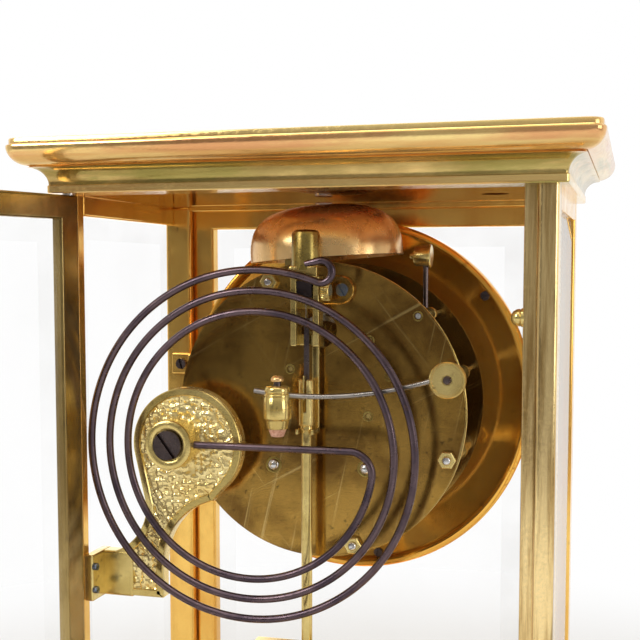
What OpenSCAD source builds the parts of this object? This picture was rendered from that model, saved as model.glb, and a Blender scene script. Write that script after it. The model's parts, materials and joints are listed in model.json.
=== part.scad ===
// Crystal regulator clock: a brass case of bevelled glass around an eight-day striking
// movement with a bell and a coiled gong, shown with its rear door standing open.
// Millimetres, +Z up, dial towards -Y. The origin is the middle of the base's underside.

/* [Case] */
// Width across the corner posts
case_w = 141; // [141:1:160]
// Depth across the corner posts
case_d = 85; // [85:1:100]
// Height of the posts between base and cornice
post_h = 222; // [216:1:260]
// Height of the moulded base
base_h = 24; // [20:1:32]
// Height of the cornice
top_h = 15; // [14:0.5:20]
// How far the cornice's top fillet stands out past the posts
cornice_out = 12; // [11:0.5:16]
// How far the base's plinth stands out past the posts
base_out = 13; // [11:0.5:16]
// Side of a square corner post
post_w = 9.2; // [8.8:0.1:9.6]
// Thickness of the side frames and of the slim hinge post
side_t = 3.2; // [3:0.1:3.4]
// Height of the side rails
rail_h = 6.4; // [5:0.2:9]
// Thickness of the glass panes
glass_t = 2; // [1.6:0.1:2.2]
// Width of the bevel round each pane
bevel_w = 8; // [5:0.5:12]
// Thickness of the floor over the hollow base
floor_t = 9; // [8:0.5:12]

/* [Doors] */
// Thickness of the front door frame
front_door_t = 5; // [4.6:0.1:5.4]
// Thickness of the rear door frame
rear_door_t = 4; // [3.8:0.1:4.4]
// Width of the door stiles and rails
stile_w = 7; // [6:0.2:9]
// How far the rear door stands open
rear_open = 107; // [60:1:112]
// Radius of the hinge pins
pin_r = 1.1; // [0.8:0.05:1.2]
// Radius of the door knobs
knob_r = 3.4; // [2.5:0.1:4.5]

/* [Dial] */
// Drop from the ceiling to the dial's centre
dial_drop = 63.2; // [62.8:0.1:72]
// Outer radius of the ring that holds the movement
ring_r = 58; // [57:0.1:58.4]
// Depth of the ring's rim
ring_rim_d = 4.5; // [3:0.1:6]
// Radius of the dial
dial_r = 50; // [49:0.1:50.6]
// Length of the minute hand
minute_len = 43; // [36:0.5:45]
// Length of the hour hand
hour_len = 29; // [24:0.5:34]

/* [Movement] */
// Radius of the round plates
plate_r = 43.8; // [43.6:0.1:45]
// Thickness of the plates
plate_t = 1.6; // [1.2:0.1:2]
// Distance between the plates
plate_gap = 33.8; // [33.6:0.1:35]
// Room between the back plate and the rear of the case
rear_room = 25.5; // [25.3:0.1:27]
// Length of the pendulum from its spring to the middle of the bob
pendulum_len = 128; // [122:0.5:136]

/* [Bell and gong] */
// Radius of the bell's mouth
bell_r = 23.7; // [21:0.1:23.9]
// Height of the bell
bell_h = 16.4; // [15:0.1:16.6]
// Wall of the bell
bell_wall = 1.4; // [1:0.1:1.8]
// Radius of the gong wire
wire_r = 1.1; // [0.8:0.05:1.2]
// Radius where the gong's spiral starts
gong_r = 35.7; // [35:0.1:36]
// Step of the gong's spiral at each turn
gong_pitch = 5.9; // [4.6:0.1:6]
// Radius of the gong stand's round head
stand_r = 17; // [16:0.1:18]

/* [Hidden] */
$fn = 48;

// Clearances
run_gap = 0.05;     // a shaft in its hole
fit_gap = 0.1;      // a piece seated in a recess
door_gap = 0.3;     // a door beside its posts
end_gap = 0.4;      // a door above the base and below the cornice

// Colours
brass = "goldenrod";
pale_brass = "khaki";
steel = "lightsteelblue";
blued = "midnightblue";
clear_glass = [0.8, 0.9, 0.92, 0.35];

// Case planes
half_w = case_w / 2;
half_d = case_d / 2;
ceiling_z = base_h + post_h;
post_in = half_w - post_w;           // inner face of the square posts
bay_d = half_d - post_w;             // half the depth between the posts
side_in = half_w - side_t;           // inner face of the side frames
slim_d = 3.9;                        // depth of the slim hinge post
groove_d = 1.8;                      // glass groove in posts and rails
glass_x = side_in + (side_t - glass_t) / 2;
ceiling_t = 2;

// Posts: the foot of each post's bolt and tenon, and their radius
stop_w = 3.7;                        // door stop beside the rear right post
mid_x = half_w - post_w / 2;
mid_y = half_d - post_w / 2;
slim_mid = [half_w - side_t / 2, bay_d + (slim_d + groove_d) / 2];
stop_mid = [-half_w + (post_w - stop_w) / 2, mid_y];
bolt_r = 2;
slim_bolt_r = 0.7;
post_bolts = [[mid_x, -mid_y, bolt_r], [-mid_x, -mid_y, bolt_r], [stop_mid[0], stop_mid[1], bolt_r],
    [slim_mid[0], slim_mid[1], slim_bolt_r]];
bolt_in = 10;
bolt_seat = 7;
bolt_head_h = 2.5;
tenon_h = 4;

// Doors: hinge axes, widths and heights
door_z = base_h + end_gap;
door_h = post_h - 2 * end_gap;
front_set = 0.5;                     // how far the front door stands in from the posts' faces
rear_set = 0.1;                      // how far the rear door stands in from the case's corner
stop_gap = 0.2;                      // between the closed rear door and its stop
front_axis = [post_in - door_gap - front_door_t / 2, -half_d + front_set + front_door_t / 2];
front_door_w = 2 * (post_in - door_gap);
rear_axis = [half_w - rear_set - rear_door_t / 2, half_d - rear_set - rear_door_t / 2];
stop_y = rear_axis[1] - rear_door_t / 2 - stop_gap;
rear_door_w = 2 * half_w - rear_set - (post_w - stop_w) - door_gap;
pin_in = 6;
pane_lap = 1.5;                      // how far a pane reaches into its frame
knob_shank_r = 1.2;
knob_shank = 2.5;
catch_in = 2.4;
catch_drop = 34.4;
catch_stem = 2.4;
catch_y = bay_d + catch_in;
catch_z = ceiling_z - catch_drop;
catch_r = 2.5;

// Movement planes, front to rear
dial_z = ceiling_z - dial_drop;
back_y = half_d - rear_room;
back_in = back_y - plate_t;
front_in = back_in - plate_gap;
front_y = front_in - plate_t;
foot_len = 10.5;
ring_t = 1.2;
ring_back = front_y - foot_len;
ring_front = ring_back - ring_t;
dial_t = 1.4;
dial_front = ring_front - dial_t;
hand_t = 0.7;
hand_gap = 1.8;                      // from the dial to the hour hand
hand_step = 1.2;                     // from the hour hand to the minute hand
hour_y = dial_front - hand_gap;
minute_y = hour_y - hand_step;
ring_rim = 2.4;
ring_hole_r = 34;
foot_r = 2.2;
foot_at = 38.5;
bezel_t = 1.7;
bezel_lip = 1.2;
bezel_in = 0.8;                      // each step of the bezel's outer edge
bezel_lap = 1.4;                     // how far the bezel's lip covers the dial
ring_screw_in = 4;
ring_screw_at = ring_r - ring_screw_in;
ring_screw_dirs = [22, 142, 262];
screw_r = 0.9;
head_r = 1.9;
head_h = 1.2;

// Brackets between the ring and the front posts. They stand a little above the dial's centre, or as
// far above it as leaves room for their screws beside the ring.
bracket_h = 7.2;
bracket_t = 1.4;
bracket_rise = 8.8;
bracket_screw_in = 6.3;              // from a post's outer face to the bracket's screw
bracket_edge = 2.6;                  // from a post's outer face to the bracket's end
bracket_lap = 2.4;                   // how far a bracket's block stands to each side of the ring's edge
screw_room = 0.3;                    // from a screw head to the piece beside it
bracket_x = half_w - bracket_screw_in;
edge_room = bracket_x - head_r - screw_room - bracket_lap;
bracket_z = max(bracket_rise, sqrt(max(0, ring_r * ring_r - edge_room * edge_room)));
ring_edge = sqrt(ring_r * ring_r - bracket_z * bracket_z);

// Train: tooth counts, tooth module, and arbor places around the dial's centre
train_m = 0.5;
n_great = 54;
n_pinion = 8;
n_second = 52;
n_centre = 52;
n_third = 32;
n_warning = 40;
n_pin = 46;
n_escape = 30;
function pitch_r(n) = n * train_m / 2;

// Where two circles meet: centre p with radius a, centre q with radius b, on one side
function meet(p, a, q, b, side) =
    let (d = norm(q - p), u = (q - p) / d, t = (a * a - b * b + d * d) / (2 * d), h = sqrt(a * a - t * t))
    p + t * u + side * h * [-u[1], u[0]];
// Direction in degrees from one arbor to another
function heading(p, q) = atan2(q[1] - p[1], q[0] - p[0]);
function polar(r, a) = r * [cos(a), sin(a)];
// Turn of a wheel of k teeth that puts a gap where its driver of n teeth has a tooth
function mesh_turn(turn, n, k, dir) = dir + 180 + 180 / k - (turn - dir) * n / k;

arbor_r = 0.8;
pivot_in = 0.4;                      // how far a pivot stops short of the plate's outer face
wind_r = 2.2;
wind_rear_r = 1.6;
escape_r = 9;
verge_z = 32.2;
centre_at = [0, 0];
escape_at = [0, 16.6];
going_at = [14.2, -16.8];
strike_at = [-going_at[0], going_at[1]];
second_at = meet(centre_at, pitch_r(n_second + n_pinion), going_at, pitch_r(n_great + n_pinion), 1);
pin_at = [-second_at[0], second_at[1]];
third_at = meet(centre_at, pitch_r(n_centre + n_pinion), escape_at, pitch_r(n_third + n_pinion), -1);
warning_at = pin_at + polar(pitch_r(n_pin + n_pinion), 118);
fly_at = warning_at + polar(pitch_r(n_warning + n_pinion), 60);
verge_at = [0, verge_z];
bell_hammer_at = [-29.5, 28.2];
gong_hammer_at = [-40.4, 11.2];
train_arbors = [second_at, pin_at, third_at, escape_at, warning_at, fly_at, bell_hammer_at];
pillars_at = [[15.1, 37.9], [-10.7, -39.6], [38.4, -13], [-38.4, -13]];
pillar_r = 2.4;
stud_r = 1.3;
nut_r = 2.7;
nut_h = 2;

// Motion work behind the dial
n_cannon = 12;
n_minute = 36;
n_minute_pinion = 10;
n_hour = 40;
motion_at = [0, pitch_r(n_cannon + n_minute)];
hour_m = 2 * motion_at[1] / (n_minute_pinion + n_hour);
motion_gap = 1.2;                    // from the front plate to the minute wheel
hour_step = 2.8;                     // from the minute wheel to the hour wheel
motion_y = front_y - motion_gap;
motion_t = 1.2;
motion_stud_r = 1.2;
hour_wheel_y = motion_y - hour_step;
centre_r = 1.2;
cannon_r = 1.9;
hour_tube_r = 2.7;

// Levels of the wheels, measured from the back plate's inner face
great_level = 18.8;
second_level = 14.2;
centre_level = 10.2;
third_level = 6.4;
escape_level = 3;
great_y = back_in - great_level;
great_t = 1.8;
drum_r = 12.4;
drum_d = 13;
drum_wall = 0.8;
second_y = back_in - second_level;
centre_y = back_in - centre_level;
third_y = back_in - third_level;
escape_y = back_in - escape_level;
wheel_t = 1.4;
leaf_out = 0.8;                      // how far a pinion stands past its wheel on each side
pin_circle = 9.5;
hook_ring_d = 4;                     // length of the collar that hooks the mainspring
hook_ring_y = great_y - (drum_d + hook_ring_d) / 2;

// Resting turns of the train
third_turn = 0;
centre_turn = mesh_turn(third_turn, n_pinion, n_centre, heading(third_at, centre_at));
escape_turn = mesh_turn(third_turn, n_third, n_pinion, heading(third_at, escape_at));
second_turn = mesh_turn(centre_turn, n_pinion, n_second, heading(centre_at, second_at));
great_turn = mesh_turn(second_turn, n_pinion, n_great, heading(second_at, going_at));
warning_turn = 0;
pin_turn = mesh_turn(warning_turn, n_pinion, n_pin, heading(warning_at, pin_at));
fly_turn = mesh_turn(warning_turn, n_warning, n_pinion, heading(warning_at, fly_at));
strike_turn = mesh_turn(pin_turn, n_pinion, n_great, heading(pin_at, strike_at));
minute_angle = 60;
hour_angle = 305;
minute_turn = mesh_turn(-minute_angle, n_cannon, n_minute, 90);
hour_turn = mesh_turn(minute_turn, n_minute_pinion, n_hour, 270);

// Rear of the movement
pend_x = 1.6;
pend_out = 7.4;
cock_out = 8.2;
crutch_out = 2.6;
pend_y = back_y + pend_out;
cock_y = back_y + cock_out;
cock_foot_t = 2;
crutch_y = back_y + crutch_out;
crutch_t = 1;
crutch_w = 2;
flex_z = dial_z + verge_z;           // height of the verge and of the suspension's bend
cheek_in = [-1, 4];
cheek_t = 1.7;
cock_screw_x = -7.7;
cock_screw_up = 3.5;
cock_screw_z = flex_z + cock_screw_up;
rate_out = 8;
rate_up = 3;
rate_y = back_y + rate_out;
rate_z = flex_z + rate_up;
rate_axle_r = 0.7;
rate_wheel_r = 2.6;
rate_wheel_t = 2.5;
leader_r = 0.8;
rod_r = 1.6;
hook_drop = 22.3;
hook_h = 13.5;
hook_top = flex_z - hook_drop;
hook_bottom = hook_top - hook_h;
hook_w = 4.5;
hook_d = 3.6;
bob_z = flex_z - pendulum_len;
tube_r = 7;
tube_h = 44;
tube_x = 8.4;
bar_h = 5;
bar_w = 34;
bar_d = 9;
rate_nut_r = 5;
rate_nut_h = 6;

// Bell
bell_x = 4.1;
bell_in = 18.4;
bell_gap = 1.8;                      // from the bell's crown to the ceiling
bell_y = back_in - bell_in;
bell_tilt = 3.7;
bell_top = ceiling_z - bell_gap;
bell_power = 2 / 2.6;
bell_stud_r = 1.6;
bell_head_r = 3.5;
bell_head_drop = 17.5;

// Gong: the spiral's centre, its start and end angles, bend and eye
gong_in = 51.8;                      // from the left side frame to the spiral's middle
gong_drop = 10.5;
gong_out = 16.2;
gong_x = side_in - gong_in;
gong_z = dial_z - gong_drop;
gong_y = back_y + gong_out;
spiral_from = 10;
spiral_to = 1012;
bend_r = 6.5;
eye_r = 3.1;
eye_turn = 215;
eye_tip = 4;
wire_sides = 8;
hub_off = 24.7;
hub_x = gong_x + hub_off;
hub_in = 2.5;                        // how far short of the hub's middle the wire starts
hub_r = 7.3;
hub_screw_r = 2.2;
hub_head_r = 4.4;
hub_head_rise = 0.6;
hub_out = 3.2;
stand_in = 8.8;
stand_t = 5;
hub_face = gong_y + hub_out;
stand_back = gong_y - stand_in;
stand_face = stand_back + stand_t;
stand_recess = 0.8;
stand_rim = 2.3;
lug_t = 3;
lug_h = 14;
strike_x = 8.6;
arm_in = 2.8;
arm_y = gong_y - arm_in;
arm_r = 0.9;
gong_head_r = 3.75;
hammer_drop = 5;
hammer_reach = strike_x - gong_hammer_at[0];
barrel_low = 9.5;                    // from the arm down to the barrel's lower end
barrel_high = 2.4;                   // from the arm up to the barrel's upper end
hammer_cap_h = 1.4;
leather_r = 2.5;
leather_h = 3;

// A point on the spiral, and the wire's heading there
function spiral_r(a) = gong_r + gong_pitch * a / 360;
function spiral(a) = [gong_x, gong_z] - polar(spiral_r(a), a);
function unit(v) = v / norm(v);
function spiral_dir(a) =
    let (grow = gong_pitch * 180 / PI / 360)
    unit(spiral_r(a) * [sin(a), -cos(a)] - grow * [cos(a), sin(a)]);
bend_turn = let (d = spiral_dir(spiral_from)) atan2(-d[1], -d[0]);
bend_start = spiral(spiral_from) + bend_r * [sin(bend_turn), 1 - cos(bend_turn)];
hub_z = bend_start[1];
eye_dir = spiral_dir(spiral_to);
eye_up = [eye_dir[1], -eye_dir[0]];
eye_mid = spiral(spiral_to) + eye_r * eye_up;
eye_end = eye_mid + eye_r * (sin(eye_turn) * eye_dir - cos(eye_turn) * eye_up);
eye_out = cos(eye_turn) * eye_dir + sin(eye_turn) * eye_up;
gong_path = concat(
    [for (t = [0:3]) [hub_x - hub_in, hub_z] * (1 - t / 4) + bend_start * t / 4],
    [for (h = [0:14:bend_turn - 7]) bend_start - bend_r * [sin(h), 1 - cos(h)]],
    [for (a = [spiral_from:15:spiral_to - 8]) spiral(a)],
    [for (t = [0:24:eye_turn]) eye_mid + eye_r * (sin(t) * eye_dir - cos(t) * eye_up)],
    [eye_end, eye_end + eye_tip * eye_out]
);
gong_count = len(gong_path);
function path_dir(i) = unit(gong_path[min(i + 1, gong_count - 1)] - gong_path[max(i - 1, 0)]);
// Least space left between turns of the wire, over points more than a bend apart
gong_space = min([for (i = [0:gong_count - 1]) for (j = [i + 1:gong_count - 1])
    if (j - i > 8) norm(gong_path[i] - gong_path[j]) - 2 * wire_r]);
echo(gong_space = gong_space);

// Gong stand and the lug that is screwed to the slim post
head_off = 2.9;                      // from the hub to the middle of the stand's round head
head_low = 0.9;
tail_len = 46.6;
lug_under = 0.5;
lug_screw_in = 3.5;
stand_mid = [hub_x - head_off, hub_z - head_low];
lug_z = stand_mid[1] - tail_len - lug_under;
lug_screws_z = [lug_z + lug_screw_in, lug_z + lug_h - lug_screw_in];
lug_screw_r = 0.7;

// Extrusions, rods and boxes
module along_y(y0, y1) {
    translate([0, y1, 0]) rotate([90, 0, 0]) linear_extrude(y1 - y0) children();
}
module along_x(x0, x1) {
    translate([x0, 0, 0]) rotate([90, 0, 90]) linear_extrude(x1 - x0) children();
}
module rod_y(r, y0, y1) {
    translate([0, y0, 0]) rotate([-90, 0, 0]) cylinder(r = r, h = y1 - y0);
}
module rod_x(r, x0, x1) {
    translate([x0, 0, 0]) rotate([0, 90, 0]) cylinder(r = r, h = x1 - x0);
}
module rod_z(r, z0, z1) {
    translate([0, 0, z0]) cylinder(r = r, h = z1 - z0);
}
module box(x0, x1, y0, y1, z0, z1) {
    translate([x0, y0, z0]) cube([x1 - x0, y1 - y0, z1 - z0]);
}
module at_dial(p) {
    translate([p[0], 0, dial_z + p[1]]) children();
}
module annulus(r, hole) {
    difference() {
        circle(r);
        circle(hole);
    }
}
// A slotted screw along Y with its head towards +Y: the head rises h from y0
module screw_y(r, y0, len, head, h) {
    slot_w = head / 4;
    difference() {
        union() {
            rod_y(r, y0 - len, y0);
            rod_y(head, y0, y0 + h);
        }
        box(-head, head, y0 + h / 2, y0 + h + 1, -slot_w / 2, slot_w / 2);
    }
}

// Mouldings: a plain band, one with corners rounded out and one with corners hollowed.
// The curve of radius r is at the band's lower corners, or at its upper ones.
module band(half, z0, z1) {
    translate([-half, z0]) square([2 * half, z1 - z0]);
}
module ovolo(half, z0, r, upper) {
    intersection() {
        union() {
            band(half - r, z0, z0 + r);
            for (s = [-1, 1]) translate([s * (half - r), upper ? z0 : z0 + r]) circle(r);
        }
        band(half, z0, z0 + r);
    }
}
module cove(half, z0, r, upper) {
    difference() {
        band(half, z0, z0 + r);
        for (s = [-1, 1]) translate([s * half, upper ? z0 + r : z0]) circle(r);
    }
}
module cornice_outline(half) {
    fillet_h = 1.7;
    quirk = 0.6;
    lip = 2.4;
    curve_r = (top_h - fillet_h - quirk - lip) / 2;
    ovolo_z = fillet_h + curve_r + quirk;
    step = cornice_out - 5;
    band(half + 1.5, 0, fillet_h);
    cove(half + step, fillet_h, curve_r, false);
    band(half + step - quirk, fillet_h + curve_r, ovolo_z);
    ovolo(half + cornice_out - 0.7, ovolo_z, curve_r, false);
    band(half + cornice_out, top_h - lip, top_h);
}
module base_outline(half) {
    plinth_h = 5;
    cove_r = 4.2;
    quirk = 0.8;
    ovolo_r = base_out - cove_r - 2.8;
    cove_z = plinth_h + ovolo_r + quirk;
    band(half + base_out, 0, plinth_h);
    ovolo(half + base_out - quirk, plinth_h, ovolo_r, true);
    band(half + cove_r + 1.6, plinth_h + ovolo_r, cove_z);
    cove(half + cove_r + 1.7, cove_z, cove_r, true);
    band(half + 1.5, cove_z + cove_r, base_h);
}
// Children are the outlines across the width and across the depth
module moulded() {
    reach = half_w + 2 * base_out + cornice_out;
    intersection() {
        along_y(-reach, reach) children(0);
        along_x(-reach, reach) children(1);
    }
}

// Case
module hinge_holes(z) {
    for (a = [front_axis, rear_axis]) translate([a[0], a[1], z - pin_in]) cylinder(r = pin_r, h = 2 * pin_in);
}
module base() {
    rib_t = 6;
    color(brass) difference() {
        moulded() {
            base_outline(half_w);
            base_outline(half_d);
        }
        box(-post_in, post_in, -bay_d, -rib_t / 2, -1, base_h - floor_t);
        box(-post_in, post_in, rib_t / 2, bay_d, -1, base_h - floor_t);
        for (b = post_bolts) translate([b[0], b[1], 0]) {
            rod_z(b[2] + run_gap, -1, base_h + 1);
            rod_z(2 * b[2] + fit_gap, -1, base_h - bolt_seat);
        }
        hinge_holes(base_h);
    }
}
module cornice() {
    pocket_d = bay_d - post_w / 2;
    color(brass) difference() {
        translate([0, 0, ceiling_z]) moulded() {
            cornice_outline(half_w);
            cornice_outline(half_d);
        }
        box(-side_in + fit_gap, side_in - fit_gap, -bay_d + fit_gap, bay_d - fit_gap,
            ceiling_z - 1, ceiling_z + ceiling_t);
        box(-post_in, post_in, -pocket_d, pocket_d, ceiling_z, ceiling_z + top_h - 4);
        for (b = post_bolts) translate([b[0], b[1], ceiling_z]) rod_z(b[2] + run_gap, -1, tenon_h + fit_gap);
        hinge_holes(ceiling_z);
    }
}
module ceiling_plate() {
    inset = 2 * fit_gap;
    hole_r = 4;
    hole_at = [-half_w + 20.5, 8];
    color("peru") difference() {
        box(-side_in + inset, side_in - inset, -bay_d + inset, bay_d - inset,
            ceiling_z, ceiling_z + ceiling_t);
        translate([hole_at[0], hole_at[1], ceiling_z]) rod_z(hole_r, -1, ceiling_t + 1);
    }
}
// The groove a side pane stands in, between two planes across the depth
module pane_room(side, y0, y1) {
    x0 = min(side * glass_x, side * (glass_x + glass_t));
    box(x0 - fit_gap, x0 + glass_t + fit_gap, y0, y1,
        base_h + rail_h - groove_d, ceiling_z - rail_h + groove_d);
}
module tenon(b) {
    translate([b[0], b[1], ceiling_z]) rod_z(b[2], -1, tenon_h);
}
module bolt_hole(b) {
    translate([b[0], b[1], base_h]) rod_z(b[2] + run_gap, -1, bolt_in + fit_gap);
}
module square_post(side) {
    b = post_bolts[side > 0 ? 0 : 1];
    color(brass) difference() {
        union() {
            box(b[0] - post_w / 2, b[0] + post_w / 2, -half_d, -bay_d, base_h, ceiling_z);
            tenon(b);
        }
        bolt_hole(b);
        pane_room(side, -bay_d - groove_d, -bay_d + 1);
        at_dial([side * bracket_x, bracket_z]) rod_y(screw_r + run_gap, -bay_d - 4, -bay_d + 1);
    }
}
module front_left_post() {
    square_post(1);
}
module front_right_post() {
    square_post(-1);
}
module rear_left_post() {
    b = post_bolts[3];
    color(brass) difference() {
        union() {
            box(side_in, half_w, bay_d, bay_d + slim_d, base_h, ceiling_z);
            tenon(b);
        }
        bolt_hole(b);
        pane_room(1, bay_d - 1, bay_d + groove_d);
        for (z = lug_screws_z) translate([0, slim_mid[1], z])
            rod_x(lug_screw_r + run_gap, side_in - 1, half_w - 0.5);
    }
}
module rear_right_post() {
    b = post_bolts[2];
    color(brass) difference() {
        union() {
            box(-half_w, -post_in - stop_w, bay_d, half_d, base_h, ceiling_z);
            box(-half_w, -post_in, bay_d, stop_y, base_h, ceiling_z);
            tenon(b);
        }
        bolt_hole(b);
        pane_room(-1, bay_d - 1, bay_d + groove_d);
        translate([-post_in, catch_y, catch_z]) rod_x(screw_r + run_gap, -catch_stem - fit_gap, 1);
    }
}
module side_rails() {
    color(brass) for (s = [-1, 1]) for (z = [base_h, ceiling_z - rail_h]) difference() {
        box(s > 0 ? side_in : -half_w, s > 0 ? half_w : -side_in, -bay_d, bay_d, z, z + rail_h);
        pane_room(s, -bay_d - 1, bay_d + 1);
    }
}
// A pane standing on z = 0, w wide and h high, its bevelled face towards +Y
module pane(w, h) {
    edge = 0.55 * glass_t;
    side = w / 2;
    intersection() {
        linear_extrude(h) polygon([[-side, 0], [side, 0], [side, edge], [side - bevel_w, glass_t],
            [bevel_w - side, glass_t], [-side, edge]]);
        along_x(-side, side) polygon([[0, 0], [edge, 0], [glass_t, bevel_w], [glass_t, h - bevel_w],
            [edge, h], [0, h]]);
    }
}
module side_glass() {
    lap = groove_d - fit_gap;
    color(clear_glass) for (s = [-1, 1]) translate([s * glass_x, 0, base_h + rail_h - lap])
        rotate([0, 0, -90 * s]) pane(2 * (bay_d + lap), post_h - 2 * rail_h + 2 * lap);
}
module case_screws() {
    color(steel) for (b = post_bolts) translate([b[0], b[1], base_h - bolt_seat]) difference() {
        union() {
            rod_z(b[2], 0, bolt_seat + bolt_in);
            rod_z(2 * b[2], -bolt_head_h, 0);
        }
        box(-2 * b[2], 2 * b[2], -b[2] / 4, b[2] / 4, -bolt_head_h - 1, -bolt_head_h + 1);
    }
}
module hinge_pins() {
    washer_r = pin_r + 0.7;
    washer_t = end_gap - fit_gap;
    color(steel) for (a = [front_axis, rear_axis]) translate([a[0], a[1], 0]) {
        rod_z(pin_r, base_h - pin_in, base_h + pin_in);
        rod_z(washer_r, base_h, base_h + washer_t);
        rod_z(pin_r, ceiling_z - pin_in, ceiling_z + pin_in);
        rod_z(washer_r, ceiling_z - washer_t, ceiling_z);
    }
}
module door_catch() {
    seat = 0.8;
    color(pale_brass) translate([-post_in, catch_y, catch_z]) {
        rod_x(screw_r, -catch_stem, 0);
        rod_x(catch_r, 0, seat);
        intersection() {
            translate([seat, 0, 0]) sphere(r = catch_r);
            rod_x(catch_r, 0, seat + catch_r);
        }
    }
}

// Doors, each drawn with its hinge axis at the origin and its free edge towards -X
module at_front_door() {
    translate([front_axis[0], front_axis[1], door_z]) children();
}
module at_rear_door() {
    translate([rear_axis[0], rear_axis[1], door_z]) rotate([0, 0, -rear_open]) children();
}
module door_frame(w, t, outer) {
    free = t / 2 - w;
    lap = pane_lap + fit_gap;
    room = glass_t / 2 + fit_gap;
    color(brass) difference() {
        union() {
            box(free, 0, -t / 2, t / 2, 0, door_h);
            cylinder(r = t / 2, h = door_h);
        }
        box(free + stile_w, t / 2 - stile_w, -t, t, stile_w, door_h - stile_w);
        box(free + stile_w - lap, t / 2 - stile_w + lap, -room, room, stile_w - lap, door_h - stile_w + lap);
        for (z = [0, door_h]) translate([0, 0, z]) rod_z(pin_r + run_gap, -pin_in, pin_in);
        translate([free + stile_w / 2, outer * t / 2, door_h / 2])
            rod_y(knob_shank_r + run_gap, -knob_shank, knob_shank);
    }
}
module door_pane(w, t, outer) {
    edge = stile_w - pane_lap;
    color(clear_glass) translate([(t - w) / 2, -outer * glass_t / 2, edge])
        rotate([0, 0, outer > 0 ? 0 : 180]) pane(w - 2 * edge, door_h - 2 * edge);
}
module door_knob(w, t, outer) {
    neck = 2;
    turn = outer > 0 ? 0 : 180;
    color(pale_brass) translate([(t + stile_w) / 2 - w, outer * t / 2, door_h / 2]) rotate([0, 0, turn]) {
        rod_y(knob_shank_r, -knob_shank + fit_gap, neck + 1);
        rod_y(knob_shank_r + 1, 0, neck / 2);
        translate([0, neck + 0.8 * knob_r, 0]) sphere(r = knob_r);
    }
}
module front_door_frame() {
    at_front_door() door_frame(front_door_w, front_door_t, -1);
}
module front_door_glass() {
    at_front_door() door_pane(front_door_w, front_door_t, -1);
}
module front_door_knob() {
    at_front_door() door_knob(front_door_w, front_door_t, -1);
}
module rear_door_frame() {
    at_rear_door() door_frame(rear_door_w, rear_door_t, 1);
}
module rear_door_glass() {
    at_rear_door() door_pane(rear_door_w, rear_door_t, 1);
}
module rear_door_knob() {
    at_rear_door() door_knob(rear_door_w, rear_door_t, 1);
}

// Dial group
module dial_ring() {
    color(brass) at_dial(centre_at) difference() {
        union() {
            along_y(ring_front, ring_back) annulus(ring_r, ring_hole_r);
            along_y(ring_back, ring_back + ring_rim_d) annulus(ring_r, ring_r - ring_rim);
        }
        for (a = ring_screw_dirs) rotate([0, -a, 0]) translate([ring_screw_at, 0, 0])
            rod_y(screw_r + run_gap, ring_front - 1, ring_back + 1);
    }
}
module dial() {
    color("ivory") at_dial(centre_at) along_y(dial_front, ring_front) difference() {
        circle(dial_r);
        circle(hour_tube_r + 0.5);
        for (p = [going_at, strike_at]) translate(p) circle(wind_r + 1);
    }
}
module bezel() {
    seat = ring_front - bezel_t;
    color(brass) at_dial(centre_at) difference() {
        union() {
            along_y(seat, ring_front) annulus(ring_r - bezel_in, dial_r + 2 * fit_gap);
            along_y(seat - bezel_lip, seat) annulus(ring_r - 2 * bezel_in, dial_r - bezel_lap);
        }
        for (a = ring_screw_dirs) rotate([0, -a, 0]) translate([ring_screw_at, 0, 0])
            rod_y(screw_r + run_gap, ring_front - 1.6, ring_front + 1);
    }
}
module ring_brackets() {
    inner = ring_edge - bracket_lap;
    end = half_w - bracket_edge;
    low = dial_z + bracket_z - bracket_h / 2;
    block_y = ring_back + ring_rim_d - 0.5;
    touch = 0.02;
    color(pale_brass) for (s = [-1, 1]) difference() {
        mirror([s > 0 ? 0 : 1, 0, 0]) {
            box(inner, end, -bay_d, -bay_d + bracket_t, low, low + bracket_h);
            box(inner, ring_edge + bracket_lap, -bay_d, block_y, low, low + bracket_h);
        }
        at_dial(centre_at) rod_y(ring_r + touch, -half_d, back_y);
        at_dial([s * bracket_x, bracket_z]) rod_y(screw_r + run_gap, -half_d, back_y);
    }
}
module slotted_screws() {
    color(blued) {
        at_dial(centre_at) for (a = ring_screw_dirs) rotate([0, -a, 0]) translate([ring_screw_at, 0, 0])
            screw_y(screw_r, ring_back, ring_t + 1.5, head_r - 0.4, head_h);
        for (s = [-1, 1]) at_dial([s * bracket_x, bracket_z])
            screw_y(screw_r, -bay_d + bracket_t, bracket_t + 3.5, head_r, head_h);
        translate([cock_screw_x, 0, cock_screw_z])
            screw_y(screw_r, back_y + cock_foot_t, cock_foot_t + plate_t - pivot_in, head_r, head_h);
        translate([hub_x, 0, hub_z])
            screw_y(hub_screw_r, hub_face - head_h, hub_face - head_h - stand_back - hub_head_rise,
                hub_head_r, head_h + hub_head_rise);
        for (z = lug_screws_z) translate([side_in - lug_t, slim_mid[1], z]) rotate([0, 0, 90])
            screw_y(lug_screw_r, 0, lug_t + 2.2, 1.1, head_h);
        bell_frame() rotate([90, 0, 0]) screw_y(screw_r, 0, 4, bell_stud_r + 1.2, 1);
    }
}

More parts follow.
